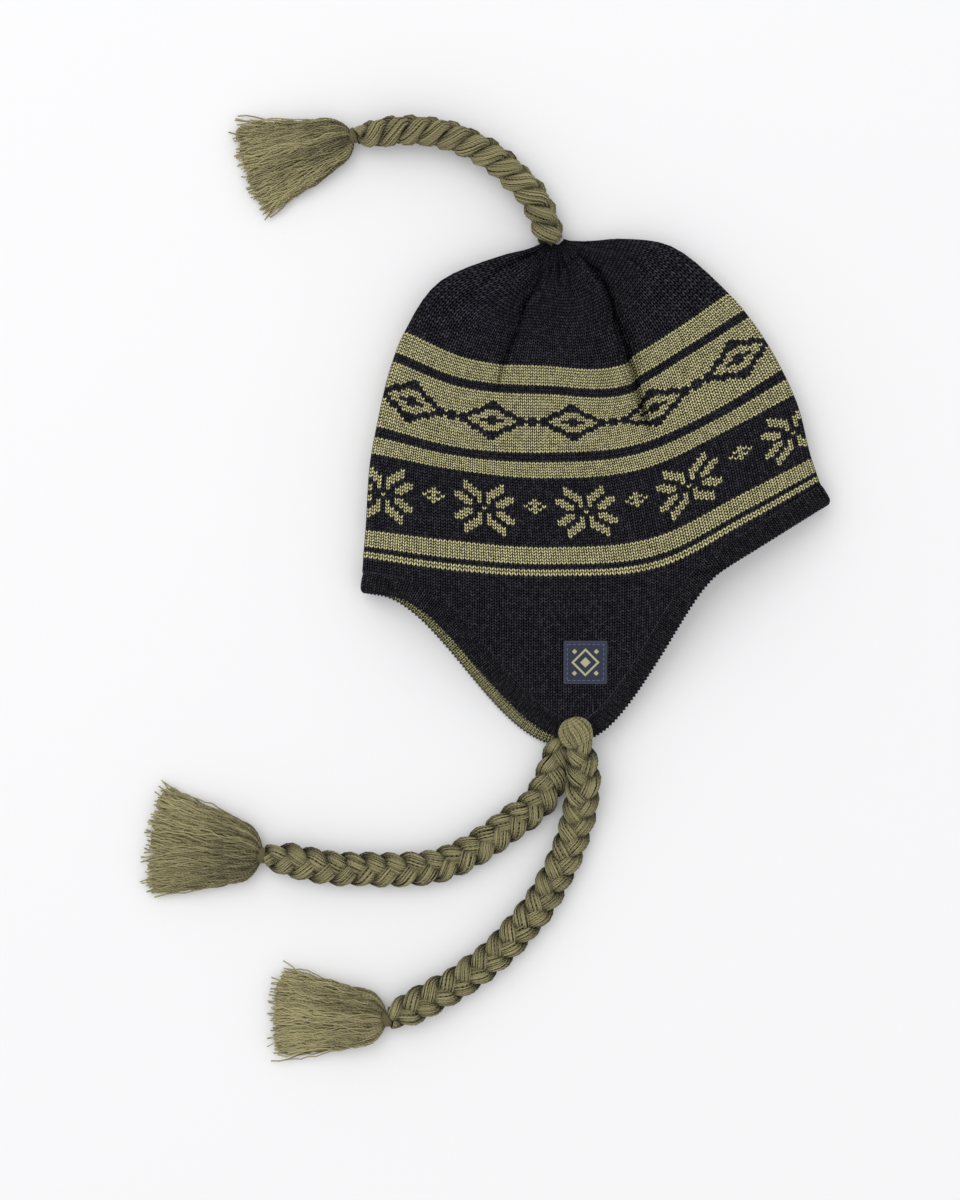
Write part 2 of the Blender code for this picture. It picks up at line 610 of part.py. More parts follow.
def main():
    knit = yarn_material("knit", (0.03, 0.03, 0.042), 0.9)
    rib = yarn_material("rib", (0.022, 0.022, 0.03), 0.9)
    patch = yarn_material("patch", (0.03, 0.035, 0.06), 0.75)
    olive = yarn_material("olive_yarn", (0.30, 0.27, 0.15), 0.85)
    thread = yarn_material("tie_thread", (0.25, 0.23, 0.13), 0.85)

    shares = column_shares()
    grid, depths = outer_grid(shares)
    normals = outward(grid)
    make_body(grid, normals, depths, len(shares), knit)
    make_binding(grid, normals, rib)

    near_tip, far_tip = flap_tip(False), flap_tip(True)
    make_label(near_tip, patch)
    make_loop(near_tip, olive)

    tip_ring = grid[0]
    crown_tip = np.array([tip_ring[:, 0].max(), TOP_Y])
    ties = {
        "near": (NEAR_ROUTE, near_tip, BRAID_WIDTH, BRAID_THICKNESS),
        "far": (FAR_ROUTE, far_tip, BRAID_WIDTH, BRAID_THICKNESS),
        "crown": (CROWN_ROUTE, crown_tip, BRAID_THICKNESS, BRAID_WIDTH),
    }
    for tassel in TASSELS:
        route, start, width, thickness = ties[tassel.braid]
        end, heading = make_braid(tassel.braid + "_braid", route, start, width, thickness, olive)
        make_tassel(tassel, end, heading, olive, thread)


main()
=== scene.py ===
"""Looks for the knitted ear-flap beanie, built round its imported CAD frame.

The camera and the ties come first, then the knitting, the binding, the patch and the
tassels, then the materials' values, the floor and the light. Metres, +Z up.
"""

import math
from collections import namedtuple

import bpy
import numpy as np
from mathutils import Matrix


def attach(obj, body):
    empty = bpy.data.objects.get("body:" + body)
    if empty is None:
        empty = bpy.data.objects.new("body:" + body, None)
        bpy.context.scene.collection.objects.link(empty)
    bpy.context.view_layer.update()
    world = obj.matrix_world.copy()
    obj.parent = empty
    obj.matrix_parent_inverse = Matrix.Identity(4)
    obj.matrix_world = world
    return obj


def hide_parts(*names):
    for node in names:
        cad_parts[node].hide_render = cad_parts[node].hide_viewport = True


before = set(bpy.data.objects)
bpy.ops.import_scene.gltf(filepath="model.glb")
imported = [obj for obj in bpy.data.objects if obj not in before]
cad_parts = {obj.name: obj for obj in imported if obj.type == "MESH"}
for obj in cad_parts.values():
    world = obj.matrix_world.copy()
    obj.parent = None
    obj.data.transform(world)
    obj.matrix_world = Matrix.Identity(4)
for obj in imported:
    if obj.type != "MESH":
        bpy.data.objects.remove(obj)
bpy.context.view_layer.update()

# Camera: straight above, with the photo's scale at the height of the knitting
PIXEL = 0.0005125
PHOTO_WIDTH, PHOTO_HEIGHT = 960, 1200
PHOTO_ORIGIN = (596, 492)
CAMERA_HEIGHT = 1.8
SCALE_HEIGHT = 0.012
SENSOR = 36.0
MILLIMETRE = 0.001

# Driving dimensions of the knitted body
HAT_WIDTH = 0.2409  # rim corner to rim corner, laid flat
CROWN_DEPTH = 0.1743  # top edge down to the lowest stripe, where that hangs lowest
LYING_HEIGHT = 0.032  # thickest place of the hat as it lies
WALL = 0.003  # doubled knitting
HEM_DEPTH = 0.0174  # plain knitting between the lowest stripe and the rim
FLAP_LENGTH = 0.0664  # how far a flap reaches below the hem
FLAP_CENTRE = -0.0092  # the near flap's middle, measured from the hat's middle
FLAP_RUN_LEFT = 0.0948  # from the flap's middle to where its curve meets the hem
FLAP_RUN_RIGHT = 0.0743
FLAP_FULLNESS = 0.92  # below 1 the flap's curve is fuller, above 1 it is more pointed
FLAP_TIP_HEIGHT = 0.0125  # top of the near flap's tip above the table
FAR_FLAP_SHIFT = -0.0062  # the far flap shows past the near one by these two
FAR_FLAP_DROP = 0.0026
LEFT_FLARE = -0.001  # how far the rim's corners stand out past the lowest stripe
RIGHT_FLARE = 0.0056

# Shares that shape the lying tube
FOLD_SHARE = 0.29  # height of a side fold, as a share of the thickness there
FOLD_ROUND = 1.5  # run of the underside's rounding, in fold heights
DOME_POWER = 2.6  # how boxy the near layer's arch is
FLARE_SHARE = 0.22  # stretch of the rim at each corner that flares out
CORNER_HEM_SHARE = 0.8  # hem depth left at the right corner

# Binding and label
BINDING_WIDTH = 0.0105
BINDING_PROUD = 0.0006  # how far the binding stands out past the wall on each side
LABEL_SIZE = 0.0222
LABEL_THICKNESS = 0.0013
LABEL_ABOVE_TIP = 0.0405  # from the flap's tip up to the label's middle
LABEL_BEVEL = 0.0005
LABEL_SAG = 0.0005  # how far its left and right edges bend down
LABEL_WAVE = 0.0006
LABEL_ASIDE = 0.0036  # the label's middle from the flap's middle
GAP = 0.0003  # between pieces that touch

# Plaited ties and tassels
BRAID_WIDTH = 0.0193
BRAID_THICKNESS = 0.0125
BRAID_NECK_SHARE = 0.66  # its size where its tassel is tied
BRAID_TAPER_IN = 0.018  # lengths over which it reaches its full size
BRAID_TAPER_OUT = 0.012
BRAID_STEP = 0.0098  # distance between the points of a braid's line
TABLE_CLEARANCE = 0.0001
TIE_LENGTH = 0.0032
WINDING_SIZES = (0.9, 1.0, 1.03, 0.98, 0.88)
WINDING_RADIUS = 0.00048
TIE_WIDTH = 0.0082
TASSEL_LENGTH = 0.058
SHOULDER_AT = 0.010  # a tassel swells to its shoulder over this length
SHOULDER_START = 0.05  # share of that swelling that it starts from
LOOP_WIDTH = 0.0172
LOOP_LENGTH = 0.0158
LOOP_HEIGHT = 0.0068
LOOP_LAYERS = ((1.0, 34), (0.86, 26))  # size and count of its yarns
LOOP_AHEAD, LOOP_ASIDE = np.array([0.38, -0.925]), np.array([0.925, 0.38])
LOOP_OVERHANG = 0.0034  # how far the loop reaches past the flap's tip

# Floor and light, with the name, place, size and power of each lamp
FLOOR_SIZE, FLOOR_ALBEDO, FLOOR_BELOW = 40.0, 0.9, 0.0002
SKY_COLOR, SKY_STRENGTH = (0.985, 0.985, 1.0, 1.0), 0.89
LAMPS = (("window", (-0.85, 0.8, 1.9), 1.9, 12.0), ("fill", (1.4, -0.9, 1.6), 1.8, 1.5))

TOP_Y = (CROWN_DEPTH + HEM_DEPTH + FLAP_LENGTH + FAR_FLAP_DROP) / 2

# Courses of the knitting from the tip down. left and right are shares of HAT_WIDTH from
# the middle. The depths below the top edge are shares of CROWN_DEPTH, at the six places
# across that ACROSS names. height and under are shares of LYING_HEIGHT.
ACROSS = (0.0, 0.18, 0.42, 0.66, 0.83, 1.0)
Course = namedtuple("Course", "name left right edge_l quarter low fold quarter_r edge_r height under")
COURSES = (
    Course("tip", -0.096, -0.070, 0.006, 0.012, 0.018, 0.018, 0.012, 0.006, 0.38, 0.12),
    Course("gather", -0.147, -0.013, 0.029, 0.082, 0.100, 0.094, 0.065, 0.006, 0.56, 0.02),
    Course("decrease", -0.204, 0.047, 0.050, 0.141, 0.171, 0.168, 0.126, 0.002, 0.74, 0.0),
    Course("shoulder", -0.332, 0.162, 0.126, 0.235, 0.271, 0.268, 0.182, 0.024, 0.88, 0.0),
    Course("crown_edge", -0.409, 0.285, 0.279, 0.360, 0.385, 0.379, 0.282, 0.165, 0.95, 0.0),
    Course("upper_stripe", -0.434, 0.328, 0.365, 0.444, 0.468, 0.460, 0.353, 0.235, 0.97, 0.0),
    Course("wide_band", -0.468, 0.398, 0.559, 0.619, 0.641, 0.609, 0.515, 0.391, 1.0, 0.0),
    Course("lower_stripe", -0.479, 0.423, 0.638, 0.685, 0.715, 0.679, 0.578, 0.465, 1.0, 0.0),
    Course("motif_band", -0.491, 0.460, 0.862, 0.893, 0.915, 0.879, 0.765, 0.650, 0.97, 0.0),
    Course("last_stripe", -0.496, 0.477, 0.944, 0.981, 1.000, 0.968, 0.847, 0.718, 0.93, 0.0),
)
# Folds pressed into the near layer: their places across at four courses, the depths
# from and to which they run as shares of CROWN_DEPTH, how deep they are as a share of
# LYING_HEIGHT, and their half width as a share of HAT_WIDTH
FOLD_COURSES = (0.171, 0.271, 0.385, 0.641)
Crease = namedtuple("Crease", "name decrease shoulder crown_edge wide_band top end deep half_width")
CREASES = (
    Crease("pleat", 0.86, 0.75, 0.69, 0.672, 0.12, 0.60, 0.27, 0.018),
    Crease("left_fold", 0.27, 0.345, 0.304, 0.265, 0.11, 0.45, 0.15, 0.026),
    Crease("right_dent", 0.95, 0.90, 0.88, 0.88, 0.11, 0.26, 0.09, 0.020),
    Crease("left_dent", 0.06, 0.12, 0.13, 0.13, 0.09, 0.23, 0.08, 0.018),
)
CREASE_FADE = 0.06  # share of CROWN_DEPTH over which a fold starts and ends
GATHER_COUNT = 7  # small gathers round the near side of the tip
GATHER_DEEP = 0.035  # their depth, as a share of LYING_HEIGHT
GATHER_COURSE = 0.10
GATHER_FADE = 0.09

# Route of each braid from the place that it hangs from: x, y, and the lift of its middle
# over where it would lie on the table, in tenths of a millimetre
NEAR_ROUTE = (
    (14, -39, 90), (26, -125, 78), (29, -210, 62), (22, -302, 32), (0, -407, 8),
    (-34, -524, 0), (-84, -642, 0), (-147, -760, 0), (-201, -848, 0), (-270, -936, 0),
    (-349, -1025, 0), (-436, -1112, 0), (-524, -1181, 0), (-623, -1250, 0), (-730, -1309, 8),
    (-838, -1367, 18), (-927, -1407, 31), (-964, -1423, 31),
)
FAR_ROUTE = (
    (-26, -1, 0), (-54, -97, 0), (-95, -226, 0), (-182, -333, 0), (-290, -410, 0),
    (-408, -497, 0), (-536, -569, 0), (-664, -620, 0), (-808, -635, 0), (-997, -635, 0),
    (-1182, -630, 8), (-1361, -600, 16), (-1499, -571, 31), (-1538, -566, 31),
)
CROWN_ROUTE = (
    (-62, -10, 0), (-75, 36, 0), (-103, 118, 0), (-155, 222, 0), (-236, 309, 0),
    (-331, 396, 0), (-449, 470, 0), (-571, 524, 0), (-696, 549, 0), (-831, 556, 0),
    (-943, 543, 4), (-1020, 528, 17), (-1058, 530, 17),
)

# Each tassel: degrees that it turns to the left of its braid's last direction, and half
# its width at the shoulder and at its loose end
Tassel = namedtuple("Tassel", "braid turn shoulder end")
TASSELS = (
    Tassel("near", -27.0, 0.0143, 0.0210),
    Tassel("far", 2.0, 0.0155, 0.0280),
    Tassel("crown", 13.0, 0.0122, 0.0250),
)


def unit(directions):
    """Scale directions to a length of 1."""
    return directions / (np.linalg.norm(directions, axis=-1, keepdims=True) + 1e-12)


def distances(line):
    """Distance walked from the start of a line to each of its points."""
    return np.concatenate([[0.0], np.cumsum(np.linalg.norm(np.diff(line, axis=0), axis=1))])


def left_of(line):
    """Direction in plan to the left of a line, at each of its points."""
    ahead = unit(np.gradient(line, axis=0))
    return np.column_stack([-ahead[:, 1], ahead[:, 0]])


def curve_through(stations, values, places):
    """Read a smooth curve through the values at the stations; straight past its ends."""
    stations, values = np.asarray(stations, float), np.asarray(values, float)
    places = np.atleast_1d(np.asarray(places, float))
    flat = values.reshape(len(stations), -1)
    spans = np.diff(stations)
    slopes = np.diff(flat, axis=0) / spans[:, None]
    tangents = np.vstack([slopes[:1], slopes[:1], slopes[1:]])
    before, after = spans[:-1, None], spans[1:, None]
    tangents[1:-1] = (after * slopes[:-1] + before * slopes[1:]) / (before + after)
    at = np.clip(np.searchsorted(stations, places, side="right") - 1, 0, len(spans) - 1)
    span = spans[at][:, None]
    inside = np.clip(places, stations[0], stations[-1])
    t = (inside - stations[at])[:, None] / span
    read = (flat[at] * (2 * t ** 3 - 3 * t ** 2 + 1)
            + tangents[at] * span * (t ** 3 - 2 * t ** 2 + t)
            + flat[at + 1] * (3 * t ** 2 - 2 * t ** 3)
            + tangents[at + 1] * span * (t ** 3 - t ** 2))
    past = (places - inside)[:, None]
    read = read + past * np.where(past < 0, tangents[:1], tangents[-1:])
    return read.reshape((len(places),) + values.shape[1:])


def rise(share):
    """Go smoothly from 0 to 1."""
    t = np.clip(share, 0.0, 1.0)
    return t * t * (3 - 2 * t)


def course_row(depth):
    """Give the course table's numbers at any depth below the top edge."""
    table = [course[1:] for course in COURSES]
    return curve_through([course.low for course in COURSES], table, depth)[0]


def course_plan(depth, shares):
    """Place a course in plan, at the given shares across."""
    row = course_row(depth)
    x = HAT_WIDTH * (row[0] + (row[1] - row[0]) * shares)
    y = TOP_Y - CROWN_DEPTH * curve_through(ACROSS, row[2:8], shares)
    return np.column_stack([x, y])


def lean(shares, depth):
    """Shift the columns of a course so that one of them keeps to the pleat's valley."""
    pleat = CREASES[0]
    valley = np.interp(depth, FOLD_COURSES + (1.0,), pleat[1:5] + (pleat.crown_edge,))
    return np.interp(shares, (0.0, pleat.crown_edge, 1.0), (0.0, valley, 1.0))


def rim_plan(shares, far):
    """Place the rim in plan: hem depth plus the flap's bell curve below the last stripe."""
    start = course_plan(1.0, shares)
    left, right = course_plan(1.0, np.array([0.0, 1.0]))[:, 0]
    from_left = np.clip(1 - shares / FLARE_SHARE, 0, 1)
    from_right = np.clip((shares - 1) / FLARE_SHARE + 1, 0, 1)
    x = start[:, 0] + LEFT_FLARE * from_left ** 2 + RIGHT_FLARE * from_right ** 2
    stripe = course_plan(1.0, (x - left) / (right - left))[:, 1]
    hem = HEM_DEPTH * (1 - (1 - CORNER_HEM_SHARE) * from_right)
    middle = FLAP_CENTRE + (FAR_FLAP_SHIFT if far else 0.0)
    aside = x - middle
    turn = np.clip(np.abs(aside) / np.where(aside < 0, FLAP_RUN_LEFT, FLAP_RUN_RIGHT), 0, 1)
    bell = (0.5 + 0.5 * np.cos(math.pi * turn)) ** FLAP_FULLNESS
    flap = (FLAP_LENGTH + (FAR_FLAP_DROP if far else 0.0)) * bell
    return np.column_stack([x, stripe - hem - flap])


def sheet_top(depth, below):
    """Height of the near layer's middle: by its course, and sloping down the flap."""
    top = LYING_HEIGHT * course_row(depth)[8]
    slope = rise(below / (HEM_DEPTH + FLAP_LENGTH))
    return top - (top - FLAP_TIP_HEIGHT) * slope


def crease_at(crease, depth, before=0.0, after=0.0, fade_out=1.0):
    """Give a fold's place across at a depth, and how strongly it shows there."""
    shown = rise((depth - crease.top + before) / CREASE_FADE)
    return (np.interp(depth, FOLD_COURSES, crease[1:5]),
            shown * rise((crease.end + after - depth) / (fade_out * CREASE_FADE)))


def crease_depth(depth, shares, width):
    """Depth of the pressed folds along one course."""
    total = np.zeros(len(shares))
    for crease in CREASES:
        middle, shown = crease_at(crease, depth)
        aside = (shares - middle) * width / (crease.half_width * HAT_WIDTH)
        total += FOLD_SOFTNESS * crease.deep * LYING_HEIGHT * shown * np.exp(-aside ** 2)
    gather = GATHER_DEEP * LYING_HEIGHT * rise(1 - abs(depth - GATHER_COURSE) / GATHER_FADE)
    return total + gather * (1 - np.cos(2 * math.pi * GATHER_COUNT * shares)) / 2


def ring(depth, shares, near_plan, far_plan):
    """Give one ring of the hat's outer surface, as its near part and its far part."""
    under = LYING_HEIGHT * course_row(depth)[9]
    stripe = course_plan(1.0, shares)[:, 1]
    tops, folds = [], []
    for plan in (near_plan, far_plan):
        below = np.clip(stripe - plan[:, 1], 0.0, None) * (depth >= 1.0)
        tops.append(sheet_top(depth, below))
        folds.append(under + (tops[-1] - under) * FOLD_SHARE)
    along = distances(near_plan)
    arch = np.sqrt(np.clip(1 - np.abs(2 * along / along[-1] - 1) ** DOME_POWER, 0, 1))
    near_z = folds[0] + (tops[0] - folds[0] - crease_depth(depth, shares, along[-1])) * arch
    near = np.column_stack([near_plan, near_z])
    along = distances(far_plan)
    fold = np.minimum(folds[1], folds[0])
    run = np.minimum(FOLD_ROUND * fold, along[-1] * 0.5)
    from_fold = np.minimum(along, along[-1] - along)
    tuck = np.sqrt(np.clip(1 - np.clip(1 - from_fold / run, 0, 1) ** 2, 0, 1))
    far = np.column_stack([far_plan, fold - (fold - under) * tuck])
    far[0], far[-1] = near[0], near[-1]
    return near, far


def flap_height(x, y):
    """Height of the near flap's upper surface at a place near its middle."""
    left, right = course_plan(1.0, np.array([0.0, 1.0]))[:, 0]
    stripe = course_plan(1.0, np.array([(x - left) / (right - left)]))[0, 1]
    return float(sheet_top(1.0, max(stripe - y, 0.0)))


def flap_tip(far):
    """Lowest place of a flap's rim, in plan."""
    rim = rim_plan(np.linspace(0.0, 1.0, 401), far)
    return rim[rim[:, 1].argmin()]


def braid_taper(places, length, root_share):
    """Share of its full size that a braid has at places along it."""
    inner = root_share + (1 - root_share) * rise(places / BRAID_TAPER_IN)
    outer = BRAID_NECK_SHARE + (1 - BRAID_NECK_SHARE) * rise((length - places) / BRAID_TAPER_OUT)
    return np.minimum(inner, outer)


def braid_line(tie):
    """Read a braid's centre line from its chosen points; its last step is level."""
    route = np.array(tie.route) * MILLIMETRE / 10 + [tie.start[0], tie.start[1], 0.0]
    along = distances(route[:, :2])
    places = np.linspace(0.0, along[-1], max(3, round(along[-1] / BRAID_STEP) + 1))
    line = curve_through(along, route, places)
    taper = braid_taper(places, along[-1], tie.root_share)
    line[:, 2] += TABLE_CLEARANCE + taper * tie.thickness / 2
    line[-2, 2] = line[-1, 2]
    back = unit(line[0] - line[1])
    return np.vstack([line[0] + back * tie.root_back, line])


# How the knitting is divided
WALES = 94  # in one layer of the band and the flaps
NEAR_COLUMNS = 4  # faces over a wale of the near layer; the far layer has half
CROWN_WALES = 68
TIP_WALES = 40
CLOSING_WALES = 20
COURSE = 0.00149
V_RISE = 0.8  # how far a stitch's legs climb, in courses
RELIEF = (-0.00042, 0.00012, -0.0001, 0.00012)  # over a wale: edge, leg, middle, leg
Band = namedtuple("Band", "name lower_depth courses yarn")
BANDS = (
    Band("first stripe", 0.444, 7, 1), Band("dark line", 0.468, 3, 0),
    Band("wide band", 0.641, 20, 1), Band("dark line", 0.668, 3, 0),
    Band("middle stripe", 0.715, 6, 1), Band("motif band", 0.915, 23, 0),
    Band("lower stripe", 0.965, 6, 1), Band("dark line", 0.979, 2, 0),
    Band("last stripe", 1.0, 2, 1),
)
CROWN_EDGE = 0.385
DECREASE = 0.171
GATHERED = 0.095
DIAMOND_TOP = (
    ".........##.........", "........####........", ".......######.......",
    ".....###....###.....", "....###......###....", "#.###....##....###.#",
)
DIAMOND = DIAMOND_TOP + ("####...######...####",) + DIAMOND_TOP[::-1]
STAR = (
    "....#.......#.........", "....##.....##.........", "....###...###.........",
    ".....###.###..........", "..##..##.##..##....#..", "..###..#.#..###...###.",
    "...###.#.#.###...#.#.#", "....##.....##.....###.", "........#..........#..",
    "....##.....##.........", "...###.#.#.###........", "..###..#.#..###.......",
    "..##..##.##..##.......", ".....###.###..........", "....###...###.........",
    "....##.....##.........", "....#.......#.........",
)
# For each band with a design: its chart, the course it starts at and its shift in wales
DESIGNS = {"wide band": (DIAMOND, 3, 3), "motif band": (STAR, 3, 5)}
FAR_SHIFT = 7  # wales that the designs are shifted by on the far layer
SEAM_UNDERLAP = 0.0006  # how far knitting reaches under the piece beside it
FLAT_FACE = 0.00025  # faces whose two sides add up to less than this are left out

# Folds and waves that the CAD leaves out. Its broad folds are less deep here, and have
# sharp lines, each with its depth and half width.
FOLD_SOFTNESS = 0.8
SHARP_LINES = ((0.0098, 0.0010), (0.0056, 0.0013), (0.0036, 0.0012), (0.0034, 0.0012))
LINE_RUN_UP, LINE_RUN_ON = 0.05, 0.04  # shares of CROWN_DEPTH that a line is longer by
PLEAT_STEP = 0.0028  # the stripes sit this much higher to the right of the pleat
PLEAT_STEP_RUN = 0.012  # share across over which they step up
PLEAT_STEP_REACH = 9  # how far the step is felt, in such runs
PLEAT_RUN_ON = 0.05
FINE_GATHER_COUNT = 11
FINE_GATHER_DEEP = 0.0026
FINE_GATHER_FADE = 0.15
WAVE_COUNT = 7
WAVES = ((0.0011, 3, 0.052), (0.00025, 9, 0.017))  # height, seed, wavelength
WAVE_EDGE = 0.16  # share across over which the waves fade out at the side folds

# The lining
LINING_COLUMNS, LINING_ROWS, LINING_FLAP_ROWS = 121, 44, 14
LINING_RUN_ON = 1.02  # how far it reaches under the binding, as a share of the way down
LINING_COURSES = 2.3  # courses between its rows
LINING_THINNED = 2.4  # it lies in by the layers' distance divided by this, up to the wall

# The ribbed binding
RIB_PITCH = 0.0021
RIB_COLUMNS = 6
RIB_RELIEF = 0.00034
RIB_SUNK = 0.3  # share of the relief that lies under the binding's face
RIB_EDGE_RELIEF = 1.6  # the relief at the rim's edge, against that on its faces
SHADED_VALLEY_OLIVE = 0.45  # how olive the valleys between olive ribs stay; the rest darkens them towards the dark yarn, as painted shade
RIM_SAMPLES = 1201
HEM_SAMPLES, HEM_ROWS = 241, 27
HEM_RUN_ON = 1.03  # how far the hem is read, as a share of the way down to the rim
SEAM_THREAD_RADIUS = 0.00022
SEAM_STITCH = (0.16, 0.84)  # where a stitch starts and ends, in rib pitches
SEAM_STITCH_SLANT = 0.0003
SEAM_STITCH_ARCH = 0.00035
SEAM_STITCH_SUNK = 0.00015
# Round the binding from its outer seam to its inner one: share of the width towards the
# rim, height over the outer face, share of the ribs' relief, and 1 where the yarn is olive.
# Heights under two millimetres lie on the inner face.
RIB_SECTION = (
    (-0.03, -0.0007, 0.2, 0), (0.05, -0.0001, 1, 0), (0.22, 0.0002, 1, 0), (0.4, 0.0003, 1, 0),
    (0.6, 0.0003, 1, 0), (0.8, 0.0001, 1, 0), (0.93, -0.0004, 1, 0), (1.0, -0.0014, 1, 0),
    (1.02, -0.0021, 1, 0), (1.0, -0.0029, 1, 0), (0.95, -0.0037, 1, 0.35), (0.85, -0.0040, 1, 1),
    (0.6, -0.0041, 1, 1), (0.35, -0.0041, 1, 1), (0.12, -0.0040, 1, 1), (0.0, -0.0031, 0.2, 1),
)

# Plaited ties
STRAND_PERIOD = 0.031
STRAND_HALF_WIDTH = 0.0046
STRAND_HALF_HEIGHT = 0.0035
YARN_RADIUS = 0.00033
YARNS = 40
YARN_SIDES = 4
YARN_TWIST = 2 * math.pi / 0.050
BRAID_FINE_STEP = 0.0015
CROWN_ROLL = math.radians(-72)
CROWN_BOB = 0.0037
FULL_TURN = 6.3  # random phases lie between 0 and this

# Tassels
TASSEL_YARNS = 860
TASSEL_YARN_RADIUS = 0.00035
TASSEL_STATIONS = 17
STRAY_SHARE = 0.06
# Heights of a tassel's upper and lower side at distances from its neck
TASSEL_TOP = ((0, 0.003, 0.008, 0.016, 0.028, 0.045, 0.062),
              (0.0072, 0.0092, 0.0118, 0.0116, 0.0096, 0.0070, 0.0052))
TASSEL_BOTTOM = ((0, 0.004, 0.014), (0.0034, 0.0016, 0.0006))

rng = np.random.default_rng(7)


def waves(x, y, seed, wavelength):
    """Give gentle waves over a plane, from a few sines of mixed directions."""
    turns = np.random.default_rng(seed)
    total = np.zeros_like(x)
    for _ in range(WAVE_COUNT):
        angle = turns.uniform(0, 2 * math.pi)
        size = wavelength * turns.uniform(0.6, 1.7)
        phase = turns.uniform(0, 2 * math.pi)
        across = x * math.cos(angle) + y * math.sin(angle)
        total = total + np.sin(across * 2 * math.pi / size + phase)
    return total / WAVE_COUNT ** 0.5


def ring_faces(levels, around):
    """Faces between levels of points that each close round."""
    index = np.arange(levels * around).reshape(levels, around)
    following = np.roll(index, -1, axis=1)
    return np.stack([index[:-1], following[:-1], following[1:], index[1:]], axis=-1).reshape(-1, 4)


def build_mesh(name, points, faces, uv, label, numbers):
    """Make an object from arrays, with a UV map by point or corner and an attribute of this
    label, by point or face."""
    points = np.asarray(points, np.float32).reshape(-1, 3)
    faces = np.asarray(faces, np.int32)
    mesh = bpy.data.meshes.new(name)
    mesh.vertices.add(len(points))
    mesh.vertices.foreach_set("co", points.ravel())
    mesh.loops.add(faces.size)
    mesh.loops.foreach_set("vertex_index", faces.ravel())
    mesh.polygons.add(len(faces))
    mesh.polygons.foreach_set("loop_start", np.arange(0, faces.size, faces.shape[1], dtype=np.int32))
    mesh.update(calc_edges=True)
    mesh.validate()
    layer = mesh.uv_layers.new(name="stitch")
    by_corner = uv[faces.ravel()] if uv.ndim == 2 else uv.reshape(-1, 2)
    layer.data.foreach_set("uv", by_corner.astype(np.float32).ravel())
    attribute = mesh.attributes.new(label, "FLOAT", "CORNER")
    by_point = len(numbers) == len(points)
    spread = numbers[faces.ravel()] if by_point else np.repeat(numbers, faces.shape[1])
    attribute.data.foreach_set("value", spread.astype(np.float32))
    mesh.shade_smooth()
    item = bpy.data.objects.new(name, mesh)
    bpy.context.scene.collection.objects.link(item)
    return item


def tubes(paths, radii, sides):
    """Sweep closed tubes with an even count of sides: points, faces, uv and yarn numbers."""
    count, stations = paths.shape[:2]
    tangent = unit(np.gradient(paths, axis=1))
    side = unit(np.cross(tangent, [0.0, 0.0, 1.0]))
    over = np.cross(side, tangent)
    turn = (2 * math.pi * np.arange(sides) / sides)[:, None]
    outward = side[:, :, None] * np.cos(turn) + over[:, :, None] * np.sin(turn)
    points = paths[:, :, None] + outward * radii[:, :, None, None]
    along = np.array([distances(path) for path in paths]) / MILLIMETRE
    tube, level, corner = np.meshgrid(np.arange(count), np.arange(stations - 1), np.arange(sides),
                                      indexing="ij")
    base = (tube * stations + level) * sides
    following = (corner + 1) % sides
    faces = np.stack([base + corner, base + sides + corner, base + sides + following,
                      base + following], axis=-1).reshape(-1, 4)
    uv = np.empty((len(faces), 4, 2))
    for corners, around, walked in (((0, 3), (0, 1), level), ((1, 2), (0, 1), level + 1)):
        for place, step in zip(corners, around):
            uv[:, place, 0] = ((corner + step) / sides).ravel()
            uv[:, place, 1] = along[tube, walked].ravel()
    fan = np.array([(0, k, k + 1, k + 2) for k in range(1, sides - 2, 2)])
    first = (np.arange(count) * stations * sides)[:, None, None] + fan
    last = first[:, :, ::-1] + (stations - 1) * sides
    caps = np.concatenate([first, last], axis=1).reshape(-1, 4)
    owner = np.concatenate([tube.ravel(), np.repeat(np.arange(count), 2 * len(fan))])
    return (points.reshape(-1, 3), np.vstack([faces, caps]),
            np.concatenate([uv, np.zeros((len(caps), 4, 2))]), rng.random(count)[owner])


def join_sets(sets):
    """Join several sets of points, faces, uv and numbers into one."""
    points, faces, uvs, numbers = zip(*sets)
    offsets = np.cumsum([0] + [len(found) for found in points[:-1]])
    faces = [found + offset for found, offset in zip(faces, offsets)]
    return [np.concatenate(parts) for parts in (points, faces, uvs, numbers)]


def pleated_plan(depth, shares):
    """Place a course in plan, with its right part pulled up at the pleat."""
    plan = course_plan(depth, shares)
    valley, shown = crease_at(CREASES[0], depth, 0.0, PLEAT_RUN_ON, 3)
    aside = (shares - valley) / PLEAT_STEP_RUN
    plan[:, 1] += PLEAT_STEP / 2 * shown * np.tanh(aside) * np.exp(-np.abs(aside) / PLEAT_STEP_REACH)
    return plan


def pressed_lines(depth, shares, width):
    """Depth of the sharp lines at the bottom of the folds, along one course."""
    total = np.zeros(len(shares))
    for crease, (deep, half) in zip(CREASES, SHARP_LINES):
        middle, shown = crease_at(crease, depth, LINE_RUN_UP, LINE_RUN_ON)
        total += deep * shown * np.exp(-np.abs((shares - middle) * width) / half)
    return total * (depth < 1.0)


def fine_ring(depth, shares, near_plan, far_plan):
    """Give a ring with sharper folds and soft waves, as its near part and its far part."""
    near, far = ring(depth, shares, near_plan, far_plan)
    edge = np.clip(np.minimum(shares, 1 - shares) / WAVE_EDGE, 0, 1)
    gathers = FINE_GATHER_DEEP * rise(1 - abs(depth - GATHER_COURSE) / FINE_GATHER_FADE)
    swung = FINE_GATHER_COUNT * shares + 0.7 * np.sin(5 * shares)
    near[:, 2] -= pressed_lines(depth, shares, distances(near_plan)[-1])
    near[:, 2] -= gathers * np.abs(np.cos(math.pi * swung)) ** 3
    for height, seed, wavelength in WAVES:
        near[:, 2] += height * edge * waves(near[:, 0], near[:, 1], seed, wavelength)
    return near, far


